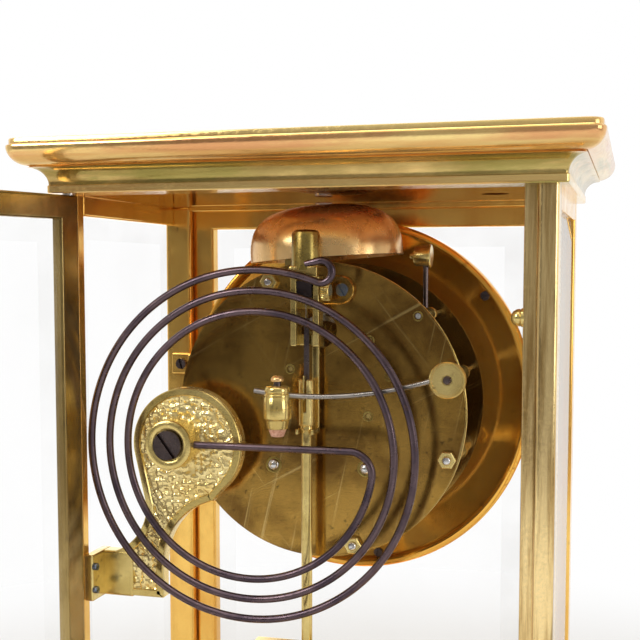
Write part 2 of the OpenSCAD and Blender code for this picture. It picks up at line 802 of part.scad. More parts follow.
// Hands and motion work
module hand(len, hub, half, eye) {
    neck = 0.56 * len;
    difference() {
        union() {
            circle(hub);
            polygon([[-half, 0], [half, 0], [half * 0.7, neck], [-half * 0.7, neck]]);
            translate([0, neck + eye]) annulus(eye, eye * 0.45);
            polygon([[-eye * 0.8, neck + 1.5 * eye], [eye * 0.8, neck + 1.5 * eye], [0, len]]);
        }
        children();
    }
}
module hour_hand() {
    color(blued) at_dial(centre_at) rotate([0, hour_angle, 0]) along_y(hour_y, hour_y + hand_t)
        hand(hour_len, 4.6, 1.2, 3.4) circle(hour_tube_r + run_gap);
}
module minute_hand() {
    color(blued) at_dial(centre_at) rotate([0, minute_angle, 0]) along_y(minute_y, minute_y + hand_t)
        hand(minute_len, 3.6, 1, 2.4) circle(cannon_r + run_gap);
}
module hand_nut() {
    color(pale_brass) at_dial(centre_at) along_y(minute_y - 1, minute_y) annulus(2.8, centre_r + run_gap);
}
// Teeth of n leaves and module m: straight flanks from root to tip, widths in shares of a pitch
module gear(n, m, turn, root_share, tip_share) {
    step = 360 / n;
    root = n * m / 2 - 1.2 * m;
    tip = n * m / 2 + 0.9 * m;
    corners = [[root, -root_share], [tip, -tip_share], [tip, tip_share], [root, root_share]];
    polygon([for (i = [0:n - 1]) for (c = corners) polar(c[0], turn + (i + c[1]) * step)]);
}
module pinion(n, m, turn) {
    gear(n, m, turn, 0.15, 0.06);
}
module wheel(n, m, turn, hub) {
    rim = n * m / 2 - 1.2 * m - 1.3;
    spoke_w = 1.6;
    difference() {
        gear(n, m, turn, 0.24, 0.08);
        difference() {
            annulus(rim, hub);
            for (a = [0, 90]) rotate(turn + a) square([2 * rim + 1, spoke_w], center = true);
        }
    }
}
module cannon_pinion() {
    color(steel) at_dial(centre_at) difference() {
        union() {
            along_y(motion_y - motion_t - 0.2, motion_y) pinion(n_cannon, train_m, -minute_angle);
            rod_y(cannon_r, minute_y, motion_y - motion_t);
        }
        rod_y(centre_r + run_gap, minute_y - 1, motion_y + 1);
    }
}
module minute_wheel() {
    color(brass) at_dial(motion_at) difference() {
        union() {
            along_y(motion_y - motion_t, motion_y - 0.2) wheel(n_minute, train_m, minute_turn, 3);
            along_y(hour_wheel_y - 0.6, motion_y - motion_t) pinion(n_minute_pinion, hour_m, minute_turn);
        }
        rod_y(motion_stud_r + run_gap, hour_wheel_y - 1, motion_y + 1);
    }
}
module hour_wheel() {
    color(brass) at_dial(centre_at) difference() {
        union() {
            along_y(hour_wheel_y, hour_wheel_y + 1) wheel(n_hour, hour_m, hour_turn, 4);
            rod_y(hour_tube_r, hour_y, hour_wheel_y + 1);
        }
        rod_y(cannon_r + run_gap, hour_y - 1, hour_wheel_y + 2);
    }
}

// Plates
module front_plate() {
    color(brass) difference() {
        union() {
            at_dial(centre_at) along_y(front_y, front_in) circle(plate_r);
            at_dial(motion_at) rod_y(motion_stud_r, hour_wheel_y - 0.8, front_in);
        }
        at_dial(centre_at) rod_y(centre_r + run_gap, front_y - 1, front_in + 1);
        for (p = [going_at, strike_at]) at_dial(p) rod_y(wind_r + run_gap, front_y - 1, front_in + 1);
        for (p = concat(train_arbors, [verge_at, gong_hammer_at])) at_dial(p)
            rod_y(arbor_r + run_gap, front_y - 1, front_in + 1);
        for (p = pillars_at) at_dial(p) rod_y(stud_r, front_y - 1, front_in + 1);
    }
}
module back_plate() {
    sight_up = 23.8;
    sight_r = 5.4;
    color("darkgoldenrod") difference() {
        at_dial(centre_at) along_y(back_in, back_y) circle(plate_r);
        at_dial(centre_at) rod_y(arbor_r + run_gap, back_in - 1, back_y + 1);
        at_dial([0, sight_up]) rod_y(sight_r, back_in - 1, back_y + 1);
        at_dial(verge_at) rod_y(arbor_r + 0.6, back_in - 1, back_y + 1);
        for (p = [going_at, strike_at]) at_dial(p) rod_y(wind_rear_r + run_gap, back_in - 1, back_y + 1);
        for (p = concat(train_arbors, [gong_hammer_at])) at_dial(p)
            rod_y(arbor_r + run_gap, back_in - 1, back_y + 1);
        for (p = pillars_at) at_dial(p) rod_y(stud_r, back_in - 1, back_y + 1);
        translate([cock_screw_x, 0, cock_screw_z]) rod_y(screw_r, back_in - 1, back_y + 1);
    }
}
module plate_pillars() {
    color(brass) for (p = pillars_at) at_dial(p) {
        rod_y(pillar_r, front_in, back_in);
        rod_y(stud_r, front_y - nut_h - 0.5, back_y + nut_h + 0.5);
        rod_y(pillar_r + 0.6, front_in + plate_gap / 2 - 2, front_in + plate_gap / 2 + 2);
    }
}
module ring_feet() {
    color(brass) at_dial(centre_at) for (a = [90, 210, 330]) rotate([0, -a, 0]) translate([foot_at, 0, 0]) {
        rod_y(foot_r, ring_back, front_y);
        rod_y(foot_r + 0.7, ring_back + 4, front_y - 4);
    }
}
module pillar_nuts() {
    color(brass) for (p = pillars_at) at_dial(p) {
        for (y = [front_y - nut_h, back_y]) along_y(y, y + nut_h) difference() {
            circle(nut_r, $fn = 6);
            circle(stud_r);
        }
    }
}

// Going and strike trains
module barrel(p, turn) {
    lid = great_y - drum_d;
    color(brass) at_dial(p) difference() {
        union() {
            along_y(great_y, great_y + great_t) gear(n_great, train_m, turn, 0.24, 0.08);
            rod_y(drum_r, lid, great_y);
        }
        rod_y(drum_r - drum_wall, lid + drum_wall, great_y + drum_wall / 2);
        rod_y(wind_r + run_gap, lid - 1, great_y + great_t + 1);
    }
}
module winding_arbor(p) {
    square_w = 3;
    shoulder = great_y + great_t + 0.8;
    color(steel) at_dial(p) {
        rod_y(wind_r, front_y - 2, shoulder);
        rod_y(wind_rear_r, shoulder - 1, back_y + 0.4);
        box(-square_w / 2, square_w / 2, dial_front + 2, front_y - 1, -square_w / 2, square_w / 2);
        rod_y(wind_r + 1.6, hook_ring_y, hook_ring_y + hook_ring_d);
        translate([0, back_y + 0.4, 0]) intersection() {
            translate([0, -1, 0]) sphere(r = wind_rear_r + 0.3);
            rod_y(wind_rear_r, -1, 2);
        }
    }
}
module arbor(r) {
    rod_y(r, front_y + pivot_in, back_y - pivot_in);
}
module going_barrel() {
    barrel(going_at, great_turn);
}
module strike_barrel() {
    barrel(strike_at, strike_turn);
}
module going_arbor() {
    winding_arbor(going_at);
}
module strike_arbor() {
    winding_arbor(strike_at);
}
// An arbor with a wheel of n teeth at one level and a pinion beside another wheel
module train_wheel(p, n, wheel_y, mate_y, mate_t, turn) {
    at_dial(p) {
        arbor(arbor_r);
        color(brass) along_y(wheel_y, wheel_y + wheel_t) wheel(n, train_m, turn, 2.6);
        along_y(mate_y - leaf_out, mate_y + mate_t + leaf_out) pinion(n_pinion, train_m, turn);
    }
}
module second_wheel() {
    color(brass) train_wheel(second_at, n_second, second_y, great_y, great_t, second_turn);
}
module centre_wheel() {
    color(brass) {
        train_wheel(centre_at, n_centre, centre_y, second_y, wheel_t, centre_turn);
        at_dial(centre_at) rod_y(centre_r, minute_y - 0.9, front_in + 4);
    }
}
module third_wheel() {
    color(brass) train_wheel(third_at, n_third, third_y, centre_y, wheel_t, third_turn);
}
module escape_wheel() {
    step = 360 / n_escape;
    root = escape_r - 1.8;
    corners = [[root, -3], [escape_r, 0], [escape_r, 0.8], [root, 3]];
    color(pale_brass) at_dial(escape_at) {
        arbor(arbor_r);
        along_y(third_y - leaf_out, third_y + wheel_t + leaf_out) pinion(n_pinion, train_m, escape_turn);
        along_y(escape_y, escape_y + 1) difference() {
            polygon([for (i = [0:n_escape - 1]) for (c = corners) polar(c[0], i * step + c[1])]);
            difference() {
                annulus(root - 1, 2.4);
                for (a = [0, 90]) rotate(a) square([2 * root, 1.2], center = true);
            }
        }
    }
}
module pin_wheel() {
    pin_count = 8;
    pin_long = 2.2;
    lift_pin_r = 0.5;
    color(brass) {
        train_wheel(pin_at, n_pin, second_y, great_y, great_t, pin_turn);
        at_dial(pin_at) for (i = [0:pin_count - 1]) rotate([0, i * 360 / pin_count, 0])
            translate([pin_circle, second_y + wheel_t, 0]) rod_y(lift_pin_r, -0.5, pin_long);
    }
}
module warning_wheel() {
    color(brass) train_wheel(warning_at, n_warning, third_y, second_y, wheel_t, warning_turn);
}
module fly() {
    vane_w = 10;
    vane_t = 0.6;
    color(pale_brass) at_dial(fly_at) {
        arbor(arbor_r);
        along_y(third_y - leaf_out, third_y + wheel_t + leaf_out) pinion(n_pinion, train_m, fly_turn);
        box(-vane_w / 2, vane_w / 2, front_in + 2, third_y - 3, -vane_t / 2, vane_t / 2);
    }
}

// Escapement and suspension
module anchor() {
    inner = escape_r + 0.9;
    outer = inner + 1.4;
    spread = 42;
    side = outer * tan(spread);
    color(steel) {
        at_dial(escape_at) along_y(escape_y - 0.2, escape_y + 1.2) {
            intersection() {
                annulus(outer, inner);
                polygon([[0, 0], [side, outer], [-side, outer]]);
            }
            translate([-1.2, inner + 0.4]) square([2.4, verge_z - escape_at[1] - inner - 0.4]);
        }
        at_dial(verge_at) {
            rod_y(2.4, escape_y - 0.2, escape_y + 1.2);
            rod_y(arbor_r, front_y + pivot_in, crutch_y + crutch_t + 2.2);
        }
    }
}
module crutch() {
    prong = 0.85;
    prong_past = 2.6;                // how far the fork reaches behind the rod's middle
    clear = rod_r + 0.25;
    fork_top = hook_bottom - 0.9;
    fork_h = 1.5;
    fork_low = fork_top - fork_h;
    outer = clear + prong;
    eye_outer = crutch_w / 2 + 1.2;
    color(pale_brass) difference() {
        union() {
            at_dial(verge_at) rod_y(eye_outer, crutch_y, crutch_y + crutch_t);
            box(-crutch_w / 2, crutch_w / 2, crutch_y, crutch_y + crutch_t, fork_low, flex_z);
            translate([pend_x, 0, 0]) {
                box(-outer, outer, crutch_y, crutch_y + crutch_t, fork_low, fork_top);
                for (x = [-outer, clear])
                    box(x, x + prong, crutch_y, pend_y + prong_past, fork_low, fork_top);
            }
        }
        at_dial(verge_at) rod_y(arbor_r, crutch_y - 1, crutch_y + crutch_t + 1);
    }
}
module suspension_cock() {
    left = cheek_in[0] - cheek_t;
    right = cheek_in[1] + cheek_t;
    foot_right = 11;                 // ends of the foot, to each side of the verge
    foot_left = 8;
    foot_low = flex_z - 3;
    foot_top = flex_z + 10;
    cheek_low = flex_z - 12.6;
    cheek_y = back_y + 5;
    cheek_d = 5;
    tie_h = 3.2;
    tie_t = 1.2;
    bridge_y = back_y + 4.6;
    bridge_t = 1.4;
    bridge_h = 2;
    block_low = flex_z + 7;
    block_top = flex_z + 10.4;
    block_d = 12;
    stem_r = 4.1;
    stem_h = 10.4;
    color(brass) difference() {
        union() {
            box(-foot_right, foot_left, back_y, back_y + cock_foot_t, foot_low, foot_top);
            box(left, right, back_y, back_y + block_d, block_low, block_top);
            translate([pend_x, cock_y, 0]) rod_z(stem_r, block_top - 1, block_top + stem_h);
            for (x = [left, cheek_in[1]])
                box(x, x + cheek_t, cheek_y, cheek_y + cheek_d, cheek_low, block_low + 1);
            box(left, right, cheek_y, cheek_y + tie_t, cheek_low, cheek_low + tie_h);
            box(left, right, bridge_y, bridge_y + bridge_t, flex_z - bridge_h, flex_z + bridge_h);
        }
        at_dial(verge_at) rod_y(arbor_r + 0.6, back_y - 1, back_y + 4);
        at_dial(verge_at) rod_y(arbor_r + run_gap, back_y + 3, back_y + 7);
        translate([cock_screw_x, 0, cock_screw_z]) rod_y(screw_r + run_gap, back_y - 1, back_y + 4);
        translate([0, rate_y, rate_z]) rod_x(rate_axle_r + run_gap, left - 1, cheek_in[0] + 1);
    }
}
module rating_wheel() {
    outside = cheek_in[0] - cheek_t;
    color(pale_brass) translate([0, rate_y, rate_z]) {
        rod_x(rate_axle_r, outside - 1, cheek_in[0] + 0.1);
        rod_x(rate_wheel_r, outside - rate_wheel_t - end_gap, outside - end_gap);
    }
}
module suspension_block() {
    color(steel) box(cheek_in[0] + 0.4, cheek_in[1] - 0.2, back_y + 6.4, back_y + 10, flex_z + 1, flex_z + 6);
}
module suspension_leader() {
    strip_t = 0.2;
    strip_w = 1.6;
    color(steel) translate([pend_x, pend_y, 0]) {
        box(-strip_t / 2, strip_t / 2, -strip_w / 2, strip_w / 2, flex_z - 6, flex_z + 0.8);
        rod_z(leader_r, hook_top, flex_z - 5);
    }
}
module pendulum_rod() {
    color(pale_brass) translate([pend_x, pend_y, 0]) {
        box(-hook_w / 2, hook_w / 2, -hook_d / 2, hook_d / 2, hook_bottom, hook_top);
        rod_z(rod_r, bob_z - tube_h / 2 - bar_h - rate_nut_h - 4, hook_bottom + 1);
    }
}
module pendulum_bob() {
    low = bob_z - tube_h / 2;
    color(pale_brass) translate([pend_x, pend_y, 0]) difference() {
        union() {
            for (s = [-1, 1]) translate([s * tube_x, 0, 0]) rod_z(tube_r, low - 1, low + tube_h + 1);
            for (z = [low - bar_h, low + tube_h])
                box(-bar_w / 2, bar_w / 2, -bar_d / 2, bar_d / 2, z, z + bar_h);
            rod_z(rate_nut_r, low - bar_h - rate_nut_h, low - bar_h);
        }
        rod_z(rod_r + run_gap, low - bar_h - rate_nut_h - 1, low + tube_h + bar_h + 1);
    }
}

// Bell, drawn hanging from its crown at the origin
module bell_frame() {
    translate([bell_x, bell_y, bell_top]) rotate([0, bell_tilt, 0]) children();
}
function bell_point(t, r, h) = [r * pow(cos(t), bell_power), h * pow(sin(t), bell_power) - bell_h];
module bell() {
    outside = [for (t = [0:6:90]) bell_point(t, bell_r, bell_h)];
    inside = [for (t = [90:-6:0]) bell_point(t, bell_r - bell_wall, bell_h - bell_wall)];
    color("chocolate") bell_frame() difference() {
        rotate_extrude() polygon(concat(outside, inside));
        rod_z(bell_stud_r + run_gap, -bell_wall - 1, 1);
    }
}
module bell_stand() {
    foot_in = 5;
    foot_out = 11;
    arm_drop = 11;
    arm_past = 4;
    arm_z = bell_top - arm_drop;
    arm_t = 1.8;
    color(brass) difference() {
        union() {
            box(foot_in, foot_out, back_in - 2, back_in, flex_z - 2, arm_z);
            box(foot_in - arm_past, foot_out, bell_y - arm_past, back_in, arm_z - arm_t, arm_z);
            bell_frame() rod_z(bell_stud_r + 1, -12.2, -bell_wall - 0.1);
            bell_frame() rod_z(bell_stud_r, -4, -0.1);
        }
        bell_frame() rod_z(screw_r, -4.5, 1);
    }
}
module bell_hammer() {
    head_z = ceiling_z - bell_head_drop;
    stem_r = 0.8;
    peg_r = 1;
    color(brass) {
        at_dial(bell_hammer_at) {
            arbor(arbor_r);
            rod_y(2, bell_y - 1.5, bell_y + 1.5);
        }
        translate([bell_hammer_at[0] + 1.5, bell_y, 0]) rod_z(stem_r, dial_z + bell_hammer_at[1], head_z);
        translate([0, bell_y, head_z]) {
            rod_x(bell_head_r, bell_hammer_at[0] - 0.3, bell_hammer_at[0] + 5.2);
            rod_x(peg_r, bell_hammer_at[0] + 5, bell_hammer_at[0] + 6.3);
        }
    }
}

// Gong and its hammer
module at_gong_hammer() {
    at_dial(gong_hammer_at) children();
}
module gong_hammer() {
    disc_r = 5.1;
    disc_in = 1.5;
    disc_out = 1;
    tail = 15.5;
    cap_r = 1.9;
    tail_dir = heading(gong_hammer_at, pin_at);
    color(brass) at_gong_hammer() {
        rod_y(arbor_r, front_y + pivot_in, arm_y + disc_out + 0.2);
        rod_y(disc_r, arm_y - disc_in, arm_y + disc_out);
        translate([0, arm_y, 0]) rotate([0, atan2(hammer_drop, hammer_reach), 0])
            rod_x(arm_r, 0, hammer_reach + gong_head_r - 0.75);
        rotate([0, -tail_dir, 0]) box(0, tail, second_y + 2.2, second_y + 3.4, -0.8, 0.8);
        rod_y(2.2, second_y + 1.8, second_y + 3.8);
        translate([hammer_reach, arm_y, -hammer_drop]) {
            rod_z(gong_head_r, -barrel_low, barrel_high);
            rod_z(cap_r, barrel_high - 0.4, barrel_high + hammer_cap_h);
        }
    }
}
module gong_hammer_tip() {
    color("rosybrown") at_gong_hammer() translate([hammer_reach, arm_y, -hammer_drop])
        rod_z(leather_r, -barrel_low - leather_h, -barrel_low);
}
// The wire: rings of points square to the path, joined by triangles
module gong() {
    rings = [for (i = [0:gong_count - 1]) for (k = [0:wire_sides - 1])
        let (d = path_dir(i), f = polar(wire_r, k * 360 / wire_sides), p = gong_path[i])
        [p[0] - d[1] * f[0], gong_y + f[1], p[1] + d[0] * f[0]]];
    skin = [for (i = [0:gong_count - 2]) for (k = [0:wire_sides - 1]) for (half = [0, 1])
        let (a = i * wire_sides + k, b = i * wire_sides + (k + 1) % wire_sides)
        half == 0 ? [a, b, b + wire_sides] : [a, b + wire_sides, a + wire_sides]];
    last = (gong_count - 1) * wire_sides;
    caps = [for (k = [1:wire_sides - 2]) for (end = [0, 1])
        end == 0 ? [0, k + 1, k] : [last, last + k, last + k + 1]];
    color("rosybrown") polyhedron(points = rings, faces = concat(skin, caps), convexity = 10);
}
// Comma shape: a round head, and a tail that curves down to the lug between two hollows
module stand_outline() {
    tail_in = 7.9;                   // inner edge of the tail's end
    tail_out = 22.7;                 // outer edge of the tail's end
    hollow_in = [-13.3, -36.6];
    hollow_out = [28.7, -18.6];
    translate(stand_mid) {
        circle(stand_r);
        difference() {
            polygon([[stand_r, -1.5], [13.2, -18.6], [25, -34.5], [tail_out, -39], [tail_out, -tail_len],
                [tail_in, -tail_len], [tail_in, hollow_in[1]], [2 - stand_r, -8]]);
            translate(hollow_in) circle(21);
            translate(hollow_out) circle(15.6);
        }
    }
}
module gong_stand() {
    lug_in = side_in - lug_t;
    color(brass) difference() {
        union() {
            along_y(stand_back, stand_face) stand_outline();
            box(stand_mid[0] + 20, side_in, stand_back, stand_face, lug_z, lug_z + lug_h);
            box(lug_in, side_in, stand_back, bay_d + slim_d - stop_gap, lug_z, lug_z + lug_h);
            translate([hub_x, 0, hub_z]) rod_y(hub_r, stand_face - stand_recess - 1, hub_face);
        }
        translate([stand_mid[0], 0, stand_mid[1]])
            along_y(stand_face - stand_recess, stand_face + 1) difference() {
            circle(stand_r - stand_rim);
            translate([hub_x, hub_z] - stand_mid) circle(hub_r);
        }
        translate([hub_x, 0, hub_z]) {
            rod_y(hub_screw_r, stand_back + 0.5, hub_face + 1);
            rod_y(hub_head_r + 0.15, hub_face - head_h, hub_face + 1);
            translate([0, gong_y, 0]) rod_x(wire_r + run_gap, -hub_r - 1, -hub_screw_r);
        }
        for (z = lug_screws_z) translate([0, slim_mid[1], z])
            rod_x(lug_screw_r + run_gap, lug_in - 1, side_in + 1);
    }
}

base();
cornice();
ceiling_plate();
front_left_post();
front_right_post();
rear_left_post();
rear_right_post();
side_rails();
side_glass();
case_screws();
hinge_pins();
door_catch();
front_door_frame();
front_door_glass();
front_door_knob();
rear_door_frame();
rear_door_glass();
rear_door_knob();
dial_ring();
dial();
bezel();
ring_brackets();
slotted_screws();
hour_hand();
minute_hand();
hand_nut();
cannon_pinion();
minute_wheel();
hour_wheel();
front_plate();
back_plate();
plate_pillars();
ring_feet();
pillar_nuts();
going_barrel();
strike_barrel();
going_arbor();
strike_arbor();
second_wheel();
centre_wheel();
third_wheel();
escape_wheel();
pin_wheel();
warning_wheel();
fly();
anchor();
crutch();
suspension_cock();
rating_wheel();
suspension_block();
suspension_leader();
pendulum_rod();
pendulum_bob();
bell_stand();
bell();
bell_hammer();
gong_hammer();
gong_hammer_tip();
gong();
gong_stand();
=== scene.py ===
# %% [markdown]
# A crystal regulator is a mantel clock whose case is a brass frame filled with bevelled glass, so
# that the movement can be seen from every side. This lesson dresses the solid model of one, seen
# from behind with its rear door open: the frame comes first, and nothing in it is ever moved.

# %% Load the frame
import json
import math

import bmesh
import bpy
import numpy as np
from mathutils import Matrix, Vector


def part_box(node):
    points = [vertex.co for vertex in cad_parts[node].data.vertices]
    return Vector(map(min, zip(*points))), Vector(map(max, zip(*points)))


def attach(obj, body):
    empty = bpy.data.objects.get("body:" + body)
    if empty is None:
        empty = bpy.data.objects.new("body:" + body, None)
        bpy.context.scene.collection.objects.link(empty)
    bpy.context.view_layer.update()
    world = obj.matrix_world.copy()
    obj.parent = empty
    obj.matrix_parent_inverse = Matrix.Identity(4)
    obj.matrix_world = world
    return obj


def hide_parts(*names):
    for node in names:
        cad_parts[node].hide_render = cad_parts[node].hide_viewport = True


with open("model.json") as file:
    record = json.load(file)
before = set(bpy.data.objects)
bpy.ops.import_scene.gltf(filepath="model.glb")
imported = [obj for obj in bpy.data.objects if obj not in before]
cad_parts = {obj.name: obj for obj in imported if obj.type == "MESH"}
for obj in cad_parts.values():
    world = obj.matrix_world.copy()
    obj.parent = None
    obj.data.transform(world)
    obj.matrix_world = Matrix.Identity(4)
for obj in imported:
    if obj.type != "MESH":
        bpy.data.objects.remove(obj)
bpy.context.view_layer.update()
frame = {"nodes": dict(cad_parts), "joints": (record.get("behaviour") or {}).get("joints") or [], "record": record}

# %% [markdown]
# Every new piece has to sit where the solid one is. So the sizes below are read from the frame's own
# boxes and joint axes, in millimetres, which is how a clockmaker would say them. A mesh is scaled to
# metres only when it is made.

# %% Measure the frame in millimetres
MM = 0.001


def low(node):
    """Lowest corner of a solid node, in millimetres."""
    return np.array(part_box(node)[0]) / MM


def high(node):
    """Highest corner of a solid node, in millimetres."""
    return np.array(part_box(node)[1]) / MM


def axis_point(joint):
    """A point on a joint's axis, in millimetres."""
    return np.array(next(j["pos_m"] for j in frame["joints"] if j["name"] == joint)) / MM


def axle(joint):
    """Where the axis of a joint that turns about Y stands, as a lathe's place at depth 0."""
    x, _, z = axis_point(joint)
    return x, 0, z


half_w = high("front_left_post")[0]
half_d = -low("front_left_post")[1]
base_top = high("base")[2]
ceiling = low("ceiling_plate")[2]
post_w = half_w - low("front_left_post")[0]
side_in = low("rear_left_post")[0]
bay_d = high("side_rails")[1]
dial_place = axle("minute_turn")
dial_x, _, dial_z = dial_place
plate_rear = high("back_plate")[1]
print("case", 2 * half_w, "x", 2 * half_d, "ceiling", round(ceiling, 2), "dial centre", round(dial_z, 2))

# %% [markdown]
# The photograph was taken close to the clock, off to one side and from just below the height of the
# ceiling plate. Its perspective was worked out from the straight edges of the case. A small vertical
# shift of the lens keeps the posts as upright as they are in the picture.

# %% Set the camera
EYE = np.array([-90.0, 334.0, ceiling - 23.0])
YAW, PITCH = math.radians(15.8), math.radians(4.38)
IMAGE_SIDE, FOCAL_PIXELS, AXIS_DROP = 640.0, 1120.2, 40.0
SENSOR, NEAREST = 36.0, 0.01


def put(name, data):
    """A new object at the origin that holds some data, linked to the scene."""
    thing = bpy.data.objects.new(name, data)
    bpy.context.scene.collection.objects.link(thing)
    return thing


def aim(thing, place, way):
    """Stand a camera or a lamp at a place in metres and point it along a direction."""
    thing.location = place
    thing.rotation_mode = "QUATERNION"
    thing.rotation_quaternion = Vector(way).to_track_quat("-Z", "Y")


camera_data = bpy.data.cameras.new("camera")
camera_data.sensor_width = SENSOR
camera_data.lens = SENSOR * FOCAL_PIXELS / IMAGE_SIDE
camera_data.shift_y = AXIS_DROP / IMAGE_SIDE
camera_data.clip_start = NEAREST
camera = put("camera", camera_data)
looking = (math.sin(YAW) * math.cos(PITCH), -math.cos(YAW) * math.cos(PITCH), -math.sin(PITCH))
aim(camera, EYE * MM, looking)
bpy.context.scene.camera = camera
print("lens", round(camera_data.lens, 1), "mm, eye", EYE)

# %% [markdown]
# Polished brass has no colour of its own to speak of: it shows the room. A white sweep behind the
# clock gives the bright streaks, and a dimmer room behind the photographer gives the browns. The
# camera and the glass see plain white, metal mirrors it where the sweep stands, and soft lamps do
# the rest.

# %% Helpers for light
def remap(tree, value, from_low, from_high, to_low, to_high):
    """A smooth map of value from one range to another, held at both ends."""
    node = tree.nodes.new("ShaderNodeMapRange")
    node.interpolation_type = "SMOOTHSTEP"
    tree.links.new(value, node.inputs["Value"])
    ends = {"From Min": from_low, "From Max": from_high, "To Min": to_low, "To Max": to_high}
    for socket, number in ends.items():
        node.inputs[socket].default_value = number
    return node.outputs["Result"]


def combine(tree, how, first, second):
    """One arithmetic node; each side is a number or another node's output."""
    node = tree.nodes.new("ShaderNodeMath")
    node.operation = how
    for socket, side in zip(node.inputs, (first, second)):
        if isinstance(side, (int, float)):
            socket.default_value = side
        else:
            tree.links.new(side, socket)
    return node.outputs[0]


def seen_plainly(tree, mirrored):
    """1 for rays from the camera, straight or through glass; rays off metal count by the share mirrored."""
    rays = tree.nodes.new("ShaderNodeLightPath").outputs
    direct = combine(tree, "MAXIMUM", rays["Is Camera Ray"], rays["Is Transmission Ray"])
    return combine(tree, "MAXIMUM", direct, combine(tree, "MULTIPLY", rays["Is Glossy Ray"], mirrored))


def mix_shaders(tree, share, first, second, output):
    """Send the first shader to the output node where share is 0 and the second where it is 1."""
    node = tree.nodes.new("ShaderNodeMixShader")
    for socket, source in zip(node.inputs, (share, first.outputs[0], second.outputs[0])):
        tree.links.new(source, socket)
    tree.links.new(node.outputs[0], output.inputs[0])


print("light helpers ready")

# %% [markdown]
# A photographer would stand white boards and lamps round the clock. Here the background does the work
# of the boards, because polished brass mirrors a wide soft glow better than a small lamp. Four square
# lamps add the highlights and the shadow on the floor.

# %% Light the studio
SWEEP_EDGE, SWEEP_FULL = 0.05, -0.5
ROOM_TINT = (1.0, 0.965, 0.91, 1)
# How strongly each part of the room glows: an axis, where the glow starts and ends along it, and its
# strength at both. They are the sweep, a window at the left, the room's ceiling and the dim room itself.
ROOM_GLOWS = (("Y", SWEEP_EDGE, SWEEP_FULL, 0.0, 0.68), ("X", 0.55, 0.95, 0.0, 0.45),
              ("Z", 0.25, 0.8, 0.0, 0.55), ("X", 0.05, 0.45, 0.31, 0.12))
bpy.context.scene.view_settings.view_transform = "Standard"
world = bpy.data.worlds.new("studio")
bpy.context.scene.world = world
world.use_nodes = True
room = world.node_tree
room.nodes.clear()
room_way = room.nodes.new("ShaderNodeSeparateXYZ")
room.links.new(room.nodes.new("ShaderNodeTexCoord").outputs["Generated"], room_way.inputs[0])
glow = 0.0
for axis, start, end, at_start, at_end in ROOM_GLOWS:
    glow = combine(room, "ADD", glow, remap(room, room_way.outputs[axis], start, end, at_start, at_end))
dim_room = room.nodes.new("ShaderNodeBackground")
dim_room.inputs["Color"].default_value = ROOM_TINT
room.links.new(glow, dim_room.inputs["Strength"])
white_sweep = room.nodes.new("ShaderNodeBackground")
white_sweep.inputs["Color"].default_value = (1, 1, 1, 1)
sweep = remap(room, room_way.outputs["Y"], SWEEP_EDGE, SWEEP_FULL, 0.0, 1.0)
room_output = room.nodes.new("ShaderNodeOutputWorld")
mix_shaders(room, seen_plainly(room, sweep), dim_room, white_sweep, room_output)

LAMP_TARGET = Vector((0, 0, 0.17))
# Each lamp's name, its place and its side in metres, and its power in watts
for name, place, size, power in (("key_left", (0.62, 0.78, 0.72), 0.45, 5.0),
                                 ("fill_right", (-0.95, 0.30, 0.35), 0.5, 2.2),
                                 ("top", (0.0, 0.1, 1.1), 0.8, 5.0), ("rim", (0.35, -1.0, 0.5), 0.8, 1.5)):
    softbox = bpy.data.lights.new(name, "AREA")
    softbox.shape = "SQUARE"
    softbox.size = size
    softbox.energy = power
    aim(put(name, softbox), place, LAMP_TARGET - Vector(place))

# %% [markdown]
# The floor is a pale sheet that only has to take the clock's shadow. Near the clock it is plain paint.
# Farther off, where the photograph is blank, the camera sees it as white as the sweep.

# %% Lay the floor
FLOOR_HALF, PAINT_R, WHITE_R = 0.85, 0.22, 0.5
FLOOR_COLOUR, FLOOR_ROUGH = (0.54, 0.53, 0.515), 0.9


def new_finish(name, roughness, metallic):
    """A new material with its node tree and its shader."""
    material = bpy.data.materials.new(name)
    material.use_nodes = True
    tree = material.node_tree
    shader = tree.nodes["Principled BSDF"]
    shader.inputs["Roughness"].default_value = roughness
    shader.inputs["Metallic"].default_value = metallic
    return material, tree, shader


floor_mesh = bpy.data.meshes.new("floor")
floor_corners = np.array([[-1, -1, 0], [1, -1, 0], [1, 1, 0], [-1, 1, 0]]) * FLOOR_HALF
floor_mesh.from_pydata(floor_corners.tolist(), [], [[0, 1, 2, 3]])
floor_paint, sheet, sheet_paint = new_finish("pale_floor", FLOOR_ROUGH, 0.0)
sheet_paint.inputs["Base Color"].default_value = (*FLOOR_COLOUR, 1)
sheet_far = sheet.nodes.new("ShaderNodeVectorMath")
sheet_far.operation = "LENGTH"
sheet.links.new(sheet.nodes.new("ShaderNodeTexCoord").outputs["Object"], sheet_far.inputs[0])
far_share = remap(sheet, sheet_far.outputs["Value"], PAINT_R, WHITE_R, 0, 1)
sheet_share = combine(sheet, "MULTIPLY", far_share, seen_plainly(sheet, 1.0))
sheet_white = sheet.nodes.new("ShaderNodeEmission")
mix_shaders(sheet, sheet_share, sheet_paint, sheet_white, sheet.nodes["Material Output"])
floor_mesh.materials.append(floor_paint)
put("floor", floor_mesh)
print("floor", 2 * FLOOR_HALF, "m square")

# %% [markdown]
# All the metals are made by one recipe: a bright colour that clouds over into a dull one, small
# stains, a roughness that wanders, and fine marks that only tilt the surface. A few numbers turn the
# recipe into polished case brass, dark plate brass, bronze or steel. Patina is the share of the
# surface that is no longer bare metal. The pattern sits in the piece's own Object coordinates, so it
# stays put when a door swings.

# %% Helpers for finishes
NOISE_ROUGH = 0.62
CLOUD_EDGES, GLOSS_EDGES = (0.38, 0.66), (0.3, 0.72)
SPOT_SOFT, SPOT_SHARE = 0.12, 0.8
MARK_SCALE, MARK_DEPTH = 420, 0.0002


